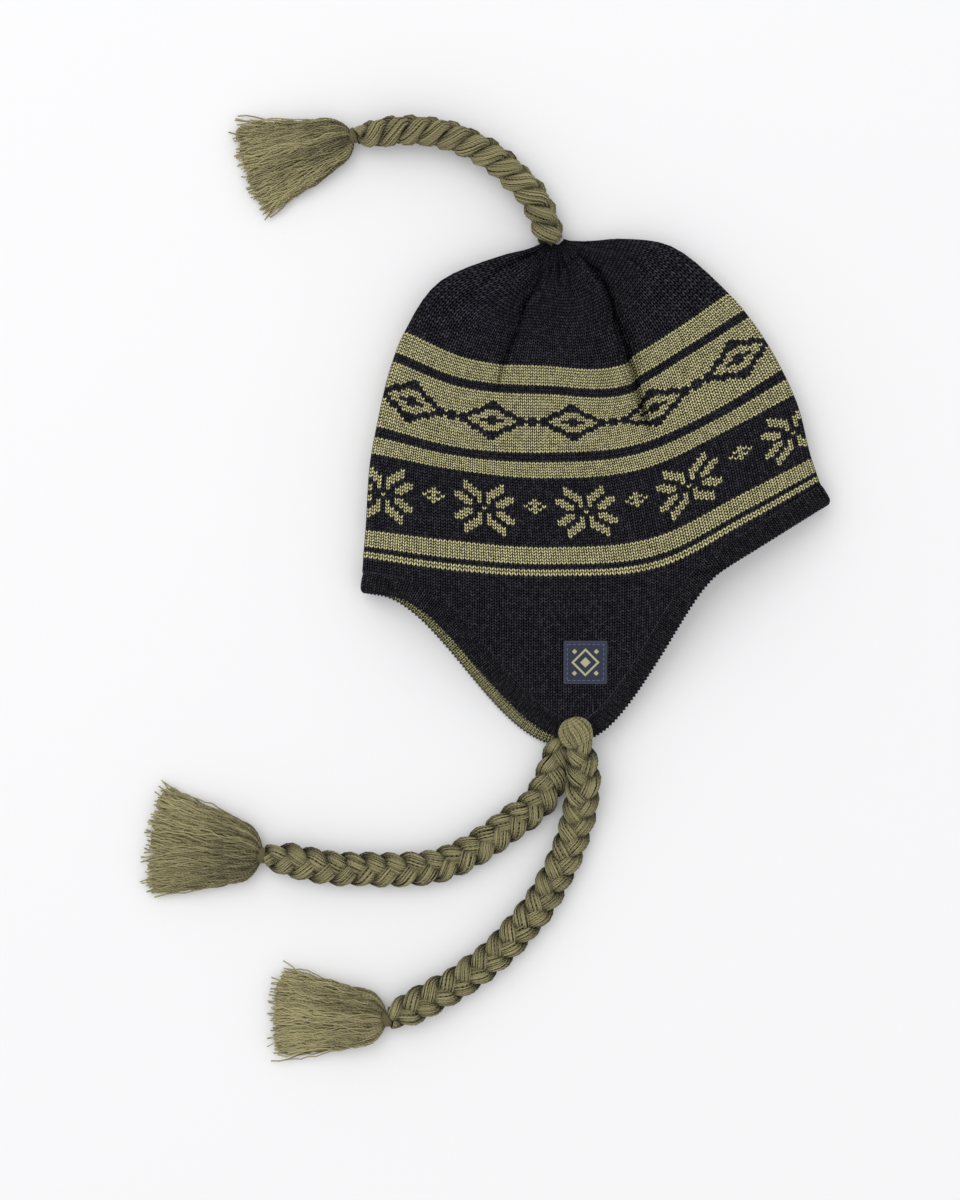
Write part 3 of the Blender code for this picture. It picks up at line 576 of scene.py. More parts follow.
def leaned_rings(depths, shares):
    """Give the rings at these depths, with their columns along the pleat."""
    rings = []
    for depth in depths:
        leaned = lean(shares, depth)
        plan = pleated_plan(depth, leaned)
        rings.append(fine_ring(depth, leaned, plan, plan))
    return rings


def layers(rings):
    """Turn a list of rings into the near layer's grid of points and the far layer's."""
    return np.array(rings).swapaxes(0, 1)


def leg_place(number, per_wale):
    """How far from a wale's middle each column stands: 0 at the middle, 1 at its edges."""
    share = (np.arange(number) / per_wale) % 1.0
    return np.abs(2 * share - 1)


def surface_out(near, far):
    """Give the outward directions of a stack of rings, near and far part."""
    grid = np.concatenate([near, far[:, -2:0:-1]], axis=1)
    around = np.roll(grid, -1, axis=1) - np.roll(grid, 1, axis=1)
    normal = unit(np.cross(np.gradient(grid, axis=0), around))
    count = near.shape[1]
    far_normal = [normal[:, :1], normal[:, count:][:, ::-1], normal[:, count - 1:count]]
    return normal[:, :count], np.concatenate(far_normal, axis=1)


def stitched(near, far, wales, name, chart):
    """Make knitting from the layers' grids: each face is a leg of one stitch.

    The grids have one row more than the courses, above the first."""
    out_near, out_far = surface_out(near, far)
    sets = []
    for rows, out, per_wale, first_wale in (
            (near, out_near, NEAR_COLUMNS, 0),
            (far[:, ::2], out_far[:, ::2], NEAR_COLUMNS // 2, wales + FAR_SHIFT)):
        number = rows.shape[1]
        climb = V_RISE * leg_place(number, per_wale)
        relief = np.array(RELIEF)[(np.arange(number) * len(RELIEF) // per_wale) % len(RELIEF)]
        shaped = rows[1:] * (1 - climb)[:, None] + rows[:-1] * climb[:, None]
        shaped = shaped + out[1:] * relief[:, None]
        levels = shaped.shape[0]
        index = np.arange(levels * number).reshape(levels, number)
        faces = np.stack([index[:-1, :-1], index[:-1, 1:], index[1:, 1:], index[1:, :-1]], axis=-1)
        if rows is near:
            faces = faces[:, :, ::-1]
        level, column = np.meshgrid(np.arange(levels - 1), np.arange(number - 1), indexing="ij")
        yarn = chart(level, column // per_wale + first_wale)
        u = np.broadcast_to(np.arange(number) / per_wale, (levels, number))
        uv = np.stack([u, climb - np.arange(levels)[:, None]], axis=-1).reshape(-1, 2)
        edges = np.linalg.norm(shaped[:-1] - shaped[1:], axis=2)
        kept = ((edges[:, :-1] + edges[:, 1:]) > FLAT_FACE).ravel()
        sets.append((shaped.reshape(-1, 3), faces.reshape(-1, 4)[kept], uv, yarn.ravel()[kept]))
    points, faces, uv, yarn = join_sets(sets)
    return build_mesh(name, points, faces, uv, "yarn", yarn)


def chart_value(rows, row, column):
    """Read a repeating chart: anything but a dot is a stitch of the other yarn."""
    table = np.array([[mark != "." for mark in line] for line in rows])
    inside = (row >= 0) & (row < len(rows))
    return inside & table[np.clip(row, 0, len(rows) - 1), column % table.shape[1]]


def band_chart(course, wale):
    """Tell which stitches are olive: the stripes, and the designs in the two broad bands."""
    yarn = np.zeros(course.shape)
    start = 0
    for band in BANDS:
        value = np.full(course.shape, band.yarn)
        if band.name in DESIGNS:
            rows, top, shift = DESIGNS[band.name]
            marked = chart_value(rows, course - start - top, wale + shift)
            value = np.where(marked, 1 - band.yarn, band.yarn)
        inside = (course >= start) & (course < start + band.courses)
        yarn = np.where(inside, value, yarn)
        start += band.courses
    return yarn


def plain_chart(course, wale):
    """All dark stitches."""
    return np.zeros(course.shape)


def course_depths():
    """Depths of the courses' edges from the crown's edge to the last stripe."""
    depths = [CROWN_EDGE]
    for band in BANDS:
        step = (band.lower_depth - depths[-1]) / band.courses
        depths += [depths[-1] + step * k for k in range(1, band.courses)] + [band.lower_depth]
    return depths


def seam_and_rim(shares):
    """For each flap: its start, the way down, how long that is, the seam's share of it, the rim."""
    start = course_plan(1.0, shares)
    found = []
    for far in (False, True):
        rim = rim_plan(shares, far)
        down = rim - start
        reach = np.linalg.norm(down, axis=1)
        across = np.abs((left_of(rim) * down).sum(axis=1)) / reach
        found.append((start, down, reach, 1 - BINDING_WIDTH / np.maximum(across, 0.5) / reach, rim))
    return found


def knit_band():
    """The striped band and both flaps, down to the binding's seam."""
    shares = np.linspace(0.0, 1.0, WALES * NEAR_COLUMNS + 1)
    depths = course_depths()
    rings = leaned_rings([2 * depths[0] - depths[1]] + depths, shares)
    sides = seam_and_rim(shares)
    ends = [reach * at_seam + SEAM_UNDERLAP for _, _, reach, at_seam, _ in sides]
    for course in range(1, math.ceil(np.max(ends) / COURSE) + 1):
        plans = [start + down * (np.minimum(course * COURSE, end) / reach)[:, None]
                 for (start, down, reach, _, _), end in zip(sides, ends)]
        rings.append(fine_ring(1.0, shares, *plans))
    return stitched(*layers(rings), WALES, "jacquard_band_and_flaps", band_chart)


def knit_crown(name, upper, lower, wales):
    """A part of the plain crown; its lowest course tucks under the part below it."""
    courses = max(2, round((lower - upper) * CROWN_DEPTH / COURSE))
    step = (lower - upper) / courses
    depths = [max(upper + step * k, COURSES[0].low) for k in range(-1, courses + 2)]
    near, far = layers(leaned_rings(depths, np.linspace(0.0, 1.0, wales * NEAR_COLUMNS + 1)))
    out_near, out_far = surface_out(near, far)
    near[-2:] -= out_near[-2:] * SEAM_UNDERLAP
    far[-2:] -= out_far[-2:] * SEAM_UNDERLAP
    return stitched(near, far, wales, name, plain_chart)


def lining():
    """The inside of the hat, seen through its mouth."""
    shares = np.linspace(0.0, 1.0, LINING_COLUMNS)
    rings = leaned_rings(np.linspace(COURSES[0].low, 1.0, LINING_ROWS), shares)
    sides = seam_and_rim(shares)
    for share in np.linspace(0.0, LINING_RUN_ON, LINING_FLAP_ROWS + 1)[1:]:
        rings.append(fine_ring(1.0, shares, *(start + down * (at_seam * share)[:, None]
                                              for start, down, _, at_seam, _ in sides)))
    near, far = layers(rings)
    out_near, out_far = surface_out(near, far)
    thin = np.clip((near[:, :, 2] - far[:, :, 2]) / LINING_THINNED, 0, WALL)[:, :, None]
    grid = np.concatenate([near - out_near * thin, (far - out_far * thin)[:, -2:0:-1]], axis=1)
    levels, around = grid.shape[:2]
    u, v = np.meshgrid(np.arange(around) / around * 2 * WALES, np.arange(levels) * -LINING_COURSES)
    uv = np.stack([u, v], axis=-1).reshape(-1, 2)
    faces = ring_faces(levels, around)
    return build_mesh("inside_of_the_hat", grid, faces, uv, "yarn", np.zeros(len(faces)))


def hem_reader(side):
    """Give a function that reads a layer's surface and its outward direction at places in plan."""
    shares = np.linspace(0.0, 1.0, HEM_SAMPLES)
    sides = seam_and_rim(shares)
    levels = np.linspace(0.0, HEM_RUN_ON, HEM_ROWS)
    grids = layers([fine_ring(1.0, shares, *(start + down * level for start, down, _, _, _ in sides))
                    for level in levels])
    grid = np.concatenate([grids[side], surface_out(*grids)[side]], axis=2)
    start, down, _, _, rim = sides[side]
    columns = np.arange(HEM_SAMPLES)

    def read(x, y):
        column = np.interp(x, rim[:, 0], columns)
        top, deep = np.interp(column, columns, start[:, 1]), np.interp(column, columns, -down[:, 1])
        level = np.clip((top - y) / deep / HEM_RUN_ON * (HEM_ROWS - 1), 0, HEM_ROWS - 1.001)
        column = np.clip(column, 0, HEM_SAMPLES - 1.001)
        i, j = level.astype(int), column.astype(int)
        f, g = (level - i)[:, None], (column - j)[:, None]
        found = ((grid[i, j] * (1 - g) + grid[i, j + 1] * g) * (1 - f)
                 + (grid[i + 1, j] * (1 - g) + grid[i + 1, j + 1] * g) * f)
        return found[:, 2], found[:, 3:6]
    return read


def rib_binding():
    """The ribbed binding round the rim: ribs square to its edge, dark outside, olive inside."""
    fine = np.linspace(0.0, 1.0, RIM_SAMPLES)
    along = distances(rim_plan(fine, False))
    ribs = round(along[-1] / RIB_PITCH)
    shares = np.interp(np.linspace(0, along[-1], ribs * RIB_COLUMNS + 1), along, fine)
    rims = [rim_plan(shares, far) for far in (False, True)]
    sides = [(rims[0], left_of(rims[0]), hem_reader(0), slice(None)),
             (rims[1], left_of(rims[1]), hem_reader(1), slice(-2, 0, -1))]
    around = 2 * ribs * RIB_COLUMNS
    rib = np.cos(2 * math.pi * (np.arange(around) % RIB_COLUMNS) / RIB_COLUMNS)[:, None]
    lift = RIB_RELIEF * (rib - RIB_SUNK)
    proud, deep = BINDING_PROUD * 0.5, -(WALL + BINDING_PROUD)
    middle_height, half_height = (proud + deep) / 2, (proud - deep) / 2
    loops = []
    for share, height, relief, _ in RIB_SECTION:
        outer_height = proud + height if height > -0.002 else deep - proud + height + 0.004
        base, direction, inward = [], [], []
        for rim, normal, read, rows in sides:
            plan = (rim + normal * BINDING_WIDTH * (1 - share))[rows]
            z, out = read(plan[:, 0], plan[:, 1])
            base.append(np.column_stack([plan, z]))
            direction.append(out)
            inward.append(np.column_stack([normal[rows], np.zeros(len(plan))]))
        base, direction, inward = np.vstack(base), np.vstack(direction), np.vstack(inward)
        edge = 1 - min(1.0, abs(outer_height - middle_height) / half_height) if share > 0.9 else 0.0
        raised = relief * (1 - edge) * (1 if outer_height > middle_height else -1)
        loops.append(base + direction * (outer_height + lift * raised)
                     - inward * lift * relief * edge * RIB_EDGE_RELIEF)
    points = np.array(loops)
    points[:, :, 2] = np.maximum(points[:, :, 2], TABLE_CLEARANCE)
    count = len(RIB_SECTION)
    level, column = np.meshgrid(np.arange(count - 1), np.arange(around), indexing="ij")
    inner = np.array([row[3] for row in RIB_SECTION])
    olive = (inner[level] + inner[level + 1]) / 2
    # The valleys between the olive ribs are mixed towards the dark yarn, as painted shade.
    yarn = np.where(np.isin(column % RIB_COLUMNS, (2, 3)), olive * SHADED_VALLEY_OLIVE, olive)
    steps = np.linalg.norm(np.diff(points, axis=0), axis=2).mean(axis=1)
    walked = np.concatenate([[0], np.cumsum(steps)]) / COURSE
    upper, lower = walked[level], walked[level + 1]
    u = np.stack([column, column, column + 1, column + 1], axis=-1) / RIB_COLUMNS
    v = np.stack([upper, lower, lower, upper], axis=-1)
    uv = np.stack([u, v], axis=-1).reshape(-1, 4, 2)
    faces = ring_faces(count, around)[:, [0, 3, 2, 1]]
    return build_mesh("ribbed_binding", points, faces, uv, "yarn", yarn.ravel())


def seam_stitches():
    """Short stitches that sew the binding on, along its seam on the near side."""
    rim = rim_plan(np.linspace(0.004, 0.996, RIM_SAMPLES), False)
    seam = rim + left_of(rim) * (BINDING_WIDTH + 0.0002)
    along = distances(seam)
    read = hem_reader(0)
    paths = []
    arc = np.linspace(0, 1, 6)
    arch = SEAM_STITCH_ARCH * np.sin(math.pi * arc) - SEAM_STITCH_SUNK
    for k in range(int(along[-1] / RIB_PITCH)):
        places = (k + np.interp(arc, (0, 1), SEAM_STITCH)) * RIB_PITCH
        x, y = np.interp(places, along, seam[:, 0]), np.interp(places, along, seam[:, 1])
        aside = rng.normal(0, 0.00008) + SEAM_STITCH_SLANT * (arc - 0.5)
        paths.append(np.column_stack([x, y + aside, read(x, y)[0] + arch]))
    paths = np.array(paths)
    points, faces, uv, number = tubes(paths, np.full(paths.shape[:2], SEAM_THREAD_RADIUS), 6)
    return build_mesh("seam_stitches", points, faces, uv, "yarn_tone_and_shade", number)


def braid(name, tie):
    """Plait a tie from three strands of yarn; gives the object, its line and its last heading."""
    coarse = braid_line(tie)
    along = distances(coarse)
    walked = np.linspace(0, along[-1], round(along[-1] / BRAID_FINE_STEP) + 1)
    line = curve_through(along, coarse, walked)
    taper = braid_taper(walked, along[-1], tie.root_share)
    tangent = unit(np.gradient(line, axis=0))
    side = unit(np.cross(tangent, [0.0, 0.0, 1.0]))
    over = np.cross(side, tangent)
    level, upright = math.cos(tie.roll), math.sin(tie.roll)
    side, over = side * level + over * upright, over * level - side * upright
    swing = BRAID_WIDTH / 2 - STRAND_HALF_WIDTH - GAP
    sets = []
    for k in range(3):
        phase = 2 * math.pi * (walked / STRAND_PERIOD + k / 3) + tie.phase
        a = swing * taper * (np.sin(phase) - 0.09 * np.sin(3 * phase)) / 1.09
        b = tie.bob * taper * tie.weave * np.sin(2 * phase + tie.weave * 0.3)
        centre = line + side * a[:, None] + over * b[:, None]
        heading = unit(np.gradient(centre, axis=0))
        first = unit(np.cross(heading, over))
        second = np.cross(first, heading)
        plump = 0.93 + 0.12 * np.cos(2 * phase - tie.swell)
        paths, radii = [], []
        for i in range(YARNS):
            drift = rng.normal(0, 0.045) + 0.05 * np.sin(walked / 0.011 + rng.uniform(0, FULL_TURN))
            turn = (2 * math.pi * (i + rng.uniform(-0.18, 0.18)) / YARNS + YARN_TWIST * walked
                    + 0.12 * np.sin(walked / 0.007 + rng.uniform(0, FULL_TURN)))
            outer = (1 + drift) * taper * plump
            wide = (STRAND_HALF_WIDTH - YARN_RADIUS) * outer * np.cos(turn)
            high = (tie.half_height - YARN_RADIUS) * outer * np.sin(turn)
            paths.append(centre + first * wide[:, None] + second * high[:, None])
            radii.append(YARN_RADIUS * (0.72 + 0.28 * taper) * rng.uniform(0.88, 1.12))
        paths = np.array(paths)
        yarns = tubes(paths, np.array(radii), YARN_SIDES)
        # lit darkens the yarns deep in the crevices between the strands and lightens those on top, as
        # painted shade and painted light, over a random tone for each yarn.
        away = paths - line
        out = np.hypot((away * side).sum(axis=2) / (BRAID_WIDTH / 2),
                       (away * over).sum(axis=2) / (BRAID_THICKNESS / 2)) / taper
        up = away[:, :, 2] / (tie.thickness / 2) / taper
        lit = (0.7 * rng.random((YARNS, 1)) + 0.7 * np.clip((out - 0.6) / 0.36, 0, 1)
               + 0.8 * np.clip(up, -0.5, 1) - 1.0)
        # The core gets 0, the darkest tone, as painted shade between the yarns.
        core = tubes(centre[None], ((STRAND_HALF_HEIGHT - 2.4 * YARN_RADIUS) * taper)[None], 8)
        sets.append(yarns[:3] + (np.repeat(lit.ravel(), YARN_SIDES),))
        sets.append(core[:3] + (np.zeros(len(core[0])),))
    points, faces, uv, shades = join_sets(sets)
    points[:, 2] = np.maximum(points[:, 2], 0.00035 + 0.15 * np.minimum(points[:, 2], 0.0))
    item = build_mesh(name, points, faces, uv, "yarn_tone_and_shade", shades)
    return item, line, unit(tangent[-1] * [1, 1, 0])


def turned(heading, angle):
    """Turn a level direction to the left by an angle."""
    x, y, across, ahead = heading[0], heading[1], math.sin(angle), math.cos(angle)
    return np.array([x * ahead - y * across, x * across + y * ahead, 0.0])


def half_width(tassel, reach):
    """Half a tassel's width at distances from its neck: a round shoulder, then a fan."""
    swell = np.minimum(SHOULDER_START + (1 - SHOULDER_START) * reach / SHOULDER_AT, 1.0)
    fan = np.maximum(reach - SHOULDER_AT, 0.0) / (TASSEL_LENGTH - SHOULDER_AT)
    shoulder = tassel.shoulder * np.sqrt(np.sin(math.pi / 2 * swell))
    return shoulder + (tassel.end - tassel.shoulder) * fan


def tassel_piece(tassel, end, heading):
    """Let the yarns of a tassel swell from its tied neck and fan out to their cut ends."""
    axis = turned(heading, math.radians(tassel.turn))
    aside = turned(axis, math.pi / 2)
    neck = (end + heading * (TIE_LENGTH - 0.0006)) * [1, 1, 0]
    share = np.linspace(0, 1, TASSEL_STATIONS) ** 1.3

    def ripple(reach, shortest, longest):
        return np.sin(reach / rng.uniform(shortest, longest) + rng.uniform(0, FULL_TURN))
    paths, radii, shades = [], [], []
    for _ in range(TASSEL_YARNS):
        a, b = rng.uniform(-1, 1), rng.uniform(-1, 1)
        round_b = b * math.sqrt(1 - 0.75 * a * a)
        stray = rng.random() < STRAY_SHARE
        length = TASSEL_LENGTH * (rng.uniform(0.96, 1.06) if stray else rng.uniform(0.85, 1.0))
        reach = share * length * (1 - 0.05 * abs(a) ** 3)
        sideways = a * (half_width(tassel, reach) - 0.0006) + rng.normal(0, 0.0017) * share ** 1.3
        if stray:
            sideways += rng.normal(0, 0.0034) * share ** 3
        sideways += 0.0012 * ripple(reach, 0.004, 0.009) * rise(reach / 0.02)
        sideways += 0.00045 * ripple(reach, 0.0014, 0.0030) * rise(reach / 0.012)
        top, bottom = np.interp(reach, *TASSEL_TOP), np.interp(reach, *TASSEL_BOTTOM)
        z = bottom + (round_b + 1) / 2 * (top - bottom) + 0.0006 * ripple(reach, 0.002, 0.005)
        path = neck + axis * reach[:, None] + aside * sideways[:, None]
        path[:, 2] += np.maximum(z, 0.0005)
        paths.append(path)
        radii.append(np.full(TASSEL_STATIONS, TASSEL_YARN_RADIUS * rng.uniform(0.85, 1.15)))
        # Each yarn's tone: random, in clumps, and lighter towards the tassel's upper side as painted
        # light.
        clump = math.sin(7 * a + 4 * math.sin(3 * a + 2 * b) + tassel.turn)
        shades.append(0.6 * rng.random() + 0.3 * clump + 0.2 * round_b)
    points, faces, uv, _ = tubes(np.array(paths), np.array(radii), YARN_SIDES)
    shades = np.repeat(np.clip(shades, 0, 1), YARN_SIDES * TASSEL_STATIONS)
    return build_mesh(tassel.braid + "_tassel_yarns", points, faces, uv, "yarn_tone_and_shade", shades)


def select_only(items):
    """Select these objects alone, the first of them active."""
    bpy.ops.object.select_all(action="DESELECT")
    for item in items:
        item.select_set(True)
    bpy.context.view_layer.objects.active = items[0]


def settle(item):
    """Put the object's place, turn and size into its mesh."""
    select_only([item])
    bpy.ops.object.transform_apply(location=True, rotation=True, scale=True)


def tie_piece(tassel, end, heading):
    """Wind yarn round the neck of a tassel, a few turns side by side."""
    turns = []
    angle = math.atan2(heading[1], heading[0])
    for k, size in enumerate(WINDING_SIZES):
        spot = end + heading * (GAP + 0.0004 + TIE_LENGTH * k / len(WINDING_SIZES))
        bpy.ops.object.select_all(action="DESELECT")
        bpy.ops.mesh.primitive_torus_add(
            location=spot, rotation=(0.06 * (k - 2), math.pi / 2, angle + 0.05 * (k % 2)),
            major_segments=36, minor_segments=8,
            major_radius=(TIE_WIDTH / 2 - 0.0005) * size, minor_radius=WINDING_RADIUS)
        turns.append(bpy.context.active_object)
    select_only(turns)
    bpy.ops.object.join()
    item = bpy.context.active_object
    item.name = tassel.braid + "_tassel_winding"
    settle(item)
    item.data.shade_smooth()
    return item


def root_loop(tip):
    """The lobe of yarns that holds the near tie over the flap's tip, narrower towards the tie."""
    middle = np.array([tip[0] - 0.0012, tip[1] + LOOP_LENGTH / 2 - LOOP_OVERHANG])
    floor = flap_height(middle[0], middle[1] + LOOP_LENGTH / 2) + BINDING_PROUD - 0.001
    paths = []
    widest = 0.97
    walked = np.linspace(-widest, 1.0, 26)
    profile = np.where(walked < 0, np.sqrt(1 - walked ** 2), 1 - 0.42 * walked ** 2)
    lengthways = np.sqrt(np.clip(1 - 0.93 * walked ** 2, 0.01, 1))
    for layer, yarns in LOOP_LAYERS:
        for i in range(yarns):
            angle = math.pi / 2 * (widest * (2 * i / (yarns - 1) - 1) + rng.uniform(-0.02, 0.02))
            wave = (math.sin(angle) + 0.10 * np.sin(2.2 * walked + 0.6) * math.cos(angle)
                    + 0.012 * np.sin(7 * walked + rng.uniform(0, FULL_TURN)))
            plan = (middle + LOOP_AHEAD * (walked * LOOP_LENGTH / 2 * layer)[:, None]
                    + LOOP_ASIDE * (wave * profile * LOOP_WIDTH / 2 * layer)[:, None])
            bulge = layer * np.sqrt(np.clip(1 - wave ** 2, 0.01, 1)) * lengthways
            paths.append(np.column_stack([plan, floor + (LOOP_HEIGHT + 0.001) * bulge]))
    paths = np.array(paths)
    points, faces, uv, number = tubes(paths, np.full(paths.shape[:2], YARN_RADIUS * 1.15), 6)
    return build_mesh("near_root_loop_yarns", points, faces, uv, "yarn_tone_and_shade", 0.8 * number)


def patch_piece(tip):
    """The woven patch: a thin square that follows the flap's slope."""
    middle = tip + np.array([LABEL_ASIDE, LABEL_ABOVE_TIP])
    bpy.ops.object.select_all(action="DESELECT")
    bpy.ops.mesh.primitive_cube_add(size=1.0, location=(0, 0, 0))
    item = bpy.context.active_object
    item.name = "woven_patch"
    item.scale = (LABEL_SIZE, LABEL_SIZE, LABEL_THICKNESS)
    settle(item)
    bevel = item.modifiers.new("soft edge", "BEVEL")
    bevel.width = LABEL_BEVEL
    bevel.segments = 3
    bpy.ops.object.modifier_apply(modifier=bevel.name)
    bpy.ops.object.mode_set(mode="EDIT")
    bpy.ops.mesh.select_all(action="SELECT")
    bpy.ops.mesh.subdivide(number_cuts=5)
    bpy.ops.object.mode_set(mode="OBJECT")
    layer = item.data.uv_layers.new(name="patch")
    for loop in item.data.loops:
        spot = item.data.vertices[loop.vertex_index].co
        layer.data[loop.index].uv = (spot.x / LABEL_SIZE, spot.y / LABEL_SIZE)
    for vertex in item.data.vertices:
        x, y = vertex.co.x + middle[0], vertex.co.y + middle[1]
        bend = (LABEL_WAVE * float(waves(np.array(x), np.array(y), *WAVES[0][1:]))
                - LABEL_SAG * (abs(vertex.co.x) / LABEL_SIZE * 2) ** 3)
        vertex.co = (x, y, vertex.co.z + LABEL_THICKNESS / 2 + flap_height(x, y) + GAP + bend)
    item.data.shade_smooth()
    return item


# Shaders. Groups give colours, masks, heights and normals only.
FLECK = (112, 112, 120)  # the palest stitches of the dark yarn


def feed(tree, socket, value):
    """Give an input its value, or link it when the value comes out of another node."""
    if isinstance(value, bpy.types.NodeSocket):
        tree.links.new(value, socket)
    else:
        socket.default_value = value


def add_node(tree, kind, inputs, **settings):
    """Add a shader node with its settings and its inputs, given by name or number."""
    node = tree.nodes.new("ShaderNode" + kind)
    for name, value in settings.items():
        setattr(node, name, value)
    for place, value in inputs.items():
        feed(tree, node.inputs[place], value)
    return node


def new_group(name, outputs):
    """Start a node group that reads a place on a UV map; gives its maths, the place and its end."""
    group = bpy.data.node_groups.new(name, "ShaderNodeTree")
    group.interface.new_socket("Place", in_out="INPUT", socket_type="NodeSocketVector")
    for label in outputs:
        group.interface.new_socket(label, in_out="OUTPUT", socket_type="NodeSocketFloat")
    split = add_node(group, "SeparateXYZ", {0: group.nodes.new("NodeGroupInput").outputs[0]})
    return group, sums(group), split.outputs[0], split.outputs[1], group.nodes.new("NodeGroupOutput")


def sums(tree):
    """Give a short way to chain value nodes in this tree."""
    def sum_of(operation, *values, clamp=False):
        inputs = dict(enumerate(values))
        return add_node(tree, "Math", inputs, operation=operation, use_clamp=clamp).outputs[0]
    return sum_of


def stitch_group():
    """Knit stitches over the wale and course numbers of a UV map."""
    group, m, u, v, end = new_group("knit stitches", ("Height", "Chance"))

    def hump(share):
        turned_over = m("POWER", m("ABSOLUTE", m("MULTIPLY_ADD", share, 2.0, -1.0)), 2.0)
        return m("MULTIPLY_ADD", turned_over, -1.0, 1.0)
    aside = m("ABSOLUTE", m("MULTIPLY_ADD", m("FRACT", u), 2.0, -1.0))
    course = m("MULTIPLY_ADD", aside, -V_RISE, v)
    legs = m("MULTIPLY", u, 2.0)
    height = m("POWER", m("MULTIPLY", hump(m("FRACT", course)), hump(m("FRACT", legs))), 0.5)
    cell = add_node(group, "CombineXYZ", {0: m("FLOOR", legs), 1: m("FLOOR", course)})
    noise = add_node(group, "TexWhiteNoise", {"Vector": cell.outputs[0]}, noise_dimensions="2D")
    feed(group, end.inputs["Height"], height)
    feed(group, end.inputs["Chance"], noise.outputs["Value"])
    return group


def yarn_group():
    """Plied yarn: slanted plies round a tube, and fine fibres."""
    group, m, u, v, end = new_group("plied yarn", ("Height", "Fibre"))
    slanted = m("MULTIPLY_ADD", v, 0.55, m("MULTIPLY", u, 2.0))
    ply = m("POWER", m("ABSOLUTE", m("SINE", m("MULTIPLY", slanted, math.pi))), 0.6)
    place = add_node(group, "CombineXYZ", {0: m("MULTIPLY", slanted, 4.0), 1: m("MULTIPLY", v, 0.3)})
    noise = add_node(group, "TexNoise", {"Scale": 2.2, "Detail": 2.0, "Vector": place.outputs[0]})
    feed(group, end.inputs["Height"], ply)
    feed(group, end.inputs["Fibre"], noise.outputs["Fac"])
    return group


def linear(color):
    """Turn a colour as a screen shows it, 0 to 255, into the values that light uses."""
    shown = np.array(color) / 255
    lit = np.where(shown < 0.043, shown / 12.92, ((shown + 0.055) / 1.055) ** 2.4)
    return tuple(float(part) for part in lit) + (1.0,)


def mixed(tree, share, first, second):
    """Mix two colours, given as sockets or as values."""
    node = add_node(tree, "Mix", {0: share}, data_type="RGBA")
    colours = [socket for socket in node.inputs if socket.type == "RGBA"]
    for socket, value in zip(colours, (first, second)):
        feed(tree, socket, value)
    return next(socket for socket in node.outputs if socket.type == "RGBA")


def plain_material(name, roughness, gloss, sheen=0.0):
    """Make a material with its roughness, gloss and sheen."""
    material = bpy.data.materials.new(name)
    material.use_nodes = True
    shader = material.node_tree.nodes["Principled BSDF"]
    shader.inputs["Roughness"].default_value = roughness
    shader.inputs["Specular IOR Level"].default_value = gloss
    shader.inputs["Sheen Weight"].default_value = sheen
    shader.inputs["Sheen Roughness"].default_value = 0.55
    return material


def mapped(material, uv_name):
    """Give a material's tree, its maths, and its UV map whole and split in two."""
    tree = material.node_tree
    uv = add_node(tree, "UVMap", {}, uv_map=uv_name).outputs[0]
    split = add_node(tree, "SeparateXYZ", {0: uv})
    return tree, sums(tree), uv, split.outputs[0], split.outputs[1]


def finished(material, color, height, strength, distance):
    """Give a material its colour, and its relief through a bump node."""
    tree = material.node_tree
    shader = tree.nodes["Principled BSDF"]
    bump = add_node(tree, "Bump", {"Strength": strength, "Distance": distance, "Height": height})
    feed(tree, shader.inputs["Base Color"], color)
    feed(tree, shader.inputs["Normal"], bump.outputs["Normal"])
    return material


def knit_material(name, dark, olive, dark_shaded, olive_shaded):
    """Knitting in two yarns, told apart by the yarn attribute. Each yarn goes from its shaded colour
    in the hollows of a stitch to its full colour on the legs, as painted shade.
    """
    material = plain_material(name, 0.95, 0.04)
    tree, m, uv, _, _ = mapped(material, "stitch")
    cells = add_node(tree, "Group", {}, node_tree=stitches)
    tree.links.new(uv, cells.inputs[0])
    yarn = add_node(tree, "Attribute", {}, attribute_name="yarn").outputs["Fac"]
    height, chance = cells.outputs["Height"], cells.outputs["Chance"]
    fleck = m("MULTIPLY", m("POWER", chance, 3.0), 0.2)
    high = mixed(tree, yarn, mixed(tree, fleck, linear(dark), linear(FLECK)), linear(olive))
    low = mixed(tree, yarn, linear(dark_shaded), linear(olive_shaded))
    # shade rises with the stitch's height, so the hollows between legs take the shaded colours as
    # painted shade; chance adds random tone from stitch to stitch.
    shade = m("MULTIPLY_ADD", chance, 0.24, m("MULTIPLY_ADD", height, 1.5, -0.55), clamp=True)
    place = add_node(tree, "TexCoord", {}).outputs["Object"]
    cloud = add_node(tree, "TexNoise", {"Scale": 900.0, "Detail": 2.0, "Vector": place})
    cloud = cloud.outputs["Fac"]
    fibre = m("MULTIPLY_ADD", cloud, 0.7, m("MULTIPLY", shade, 0.9))
    share = m("POWER", m("MULTIPLY_ADD", fibre, 1.35, -0.72, clamp=True), 1.5)
    return finished(material, mixed(tree, share, low, high),
                    m("MULTIPLY_ADD", cloud, 0.25, height), 0.8, 0.0009)


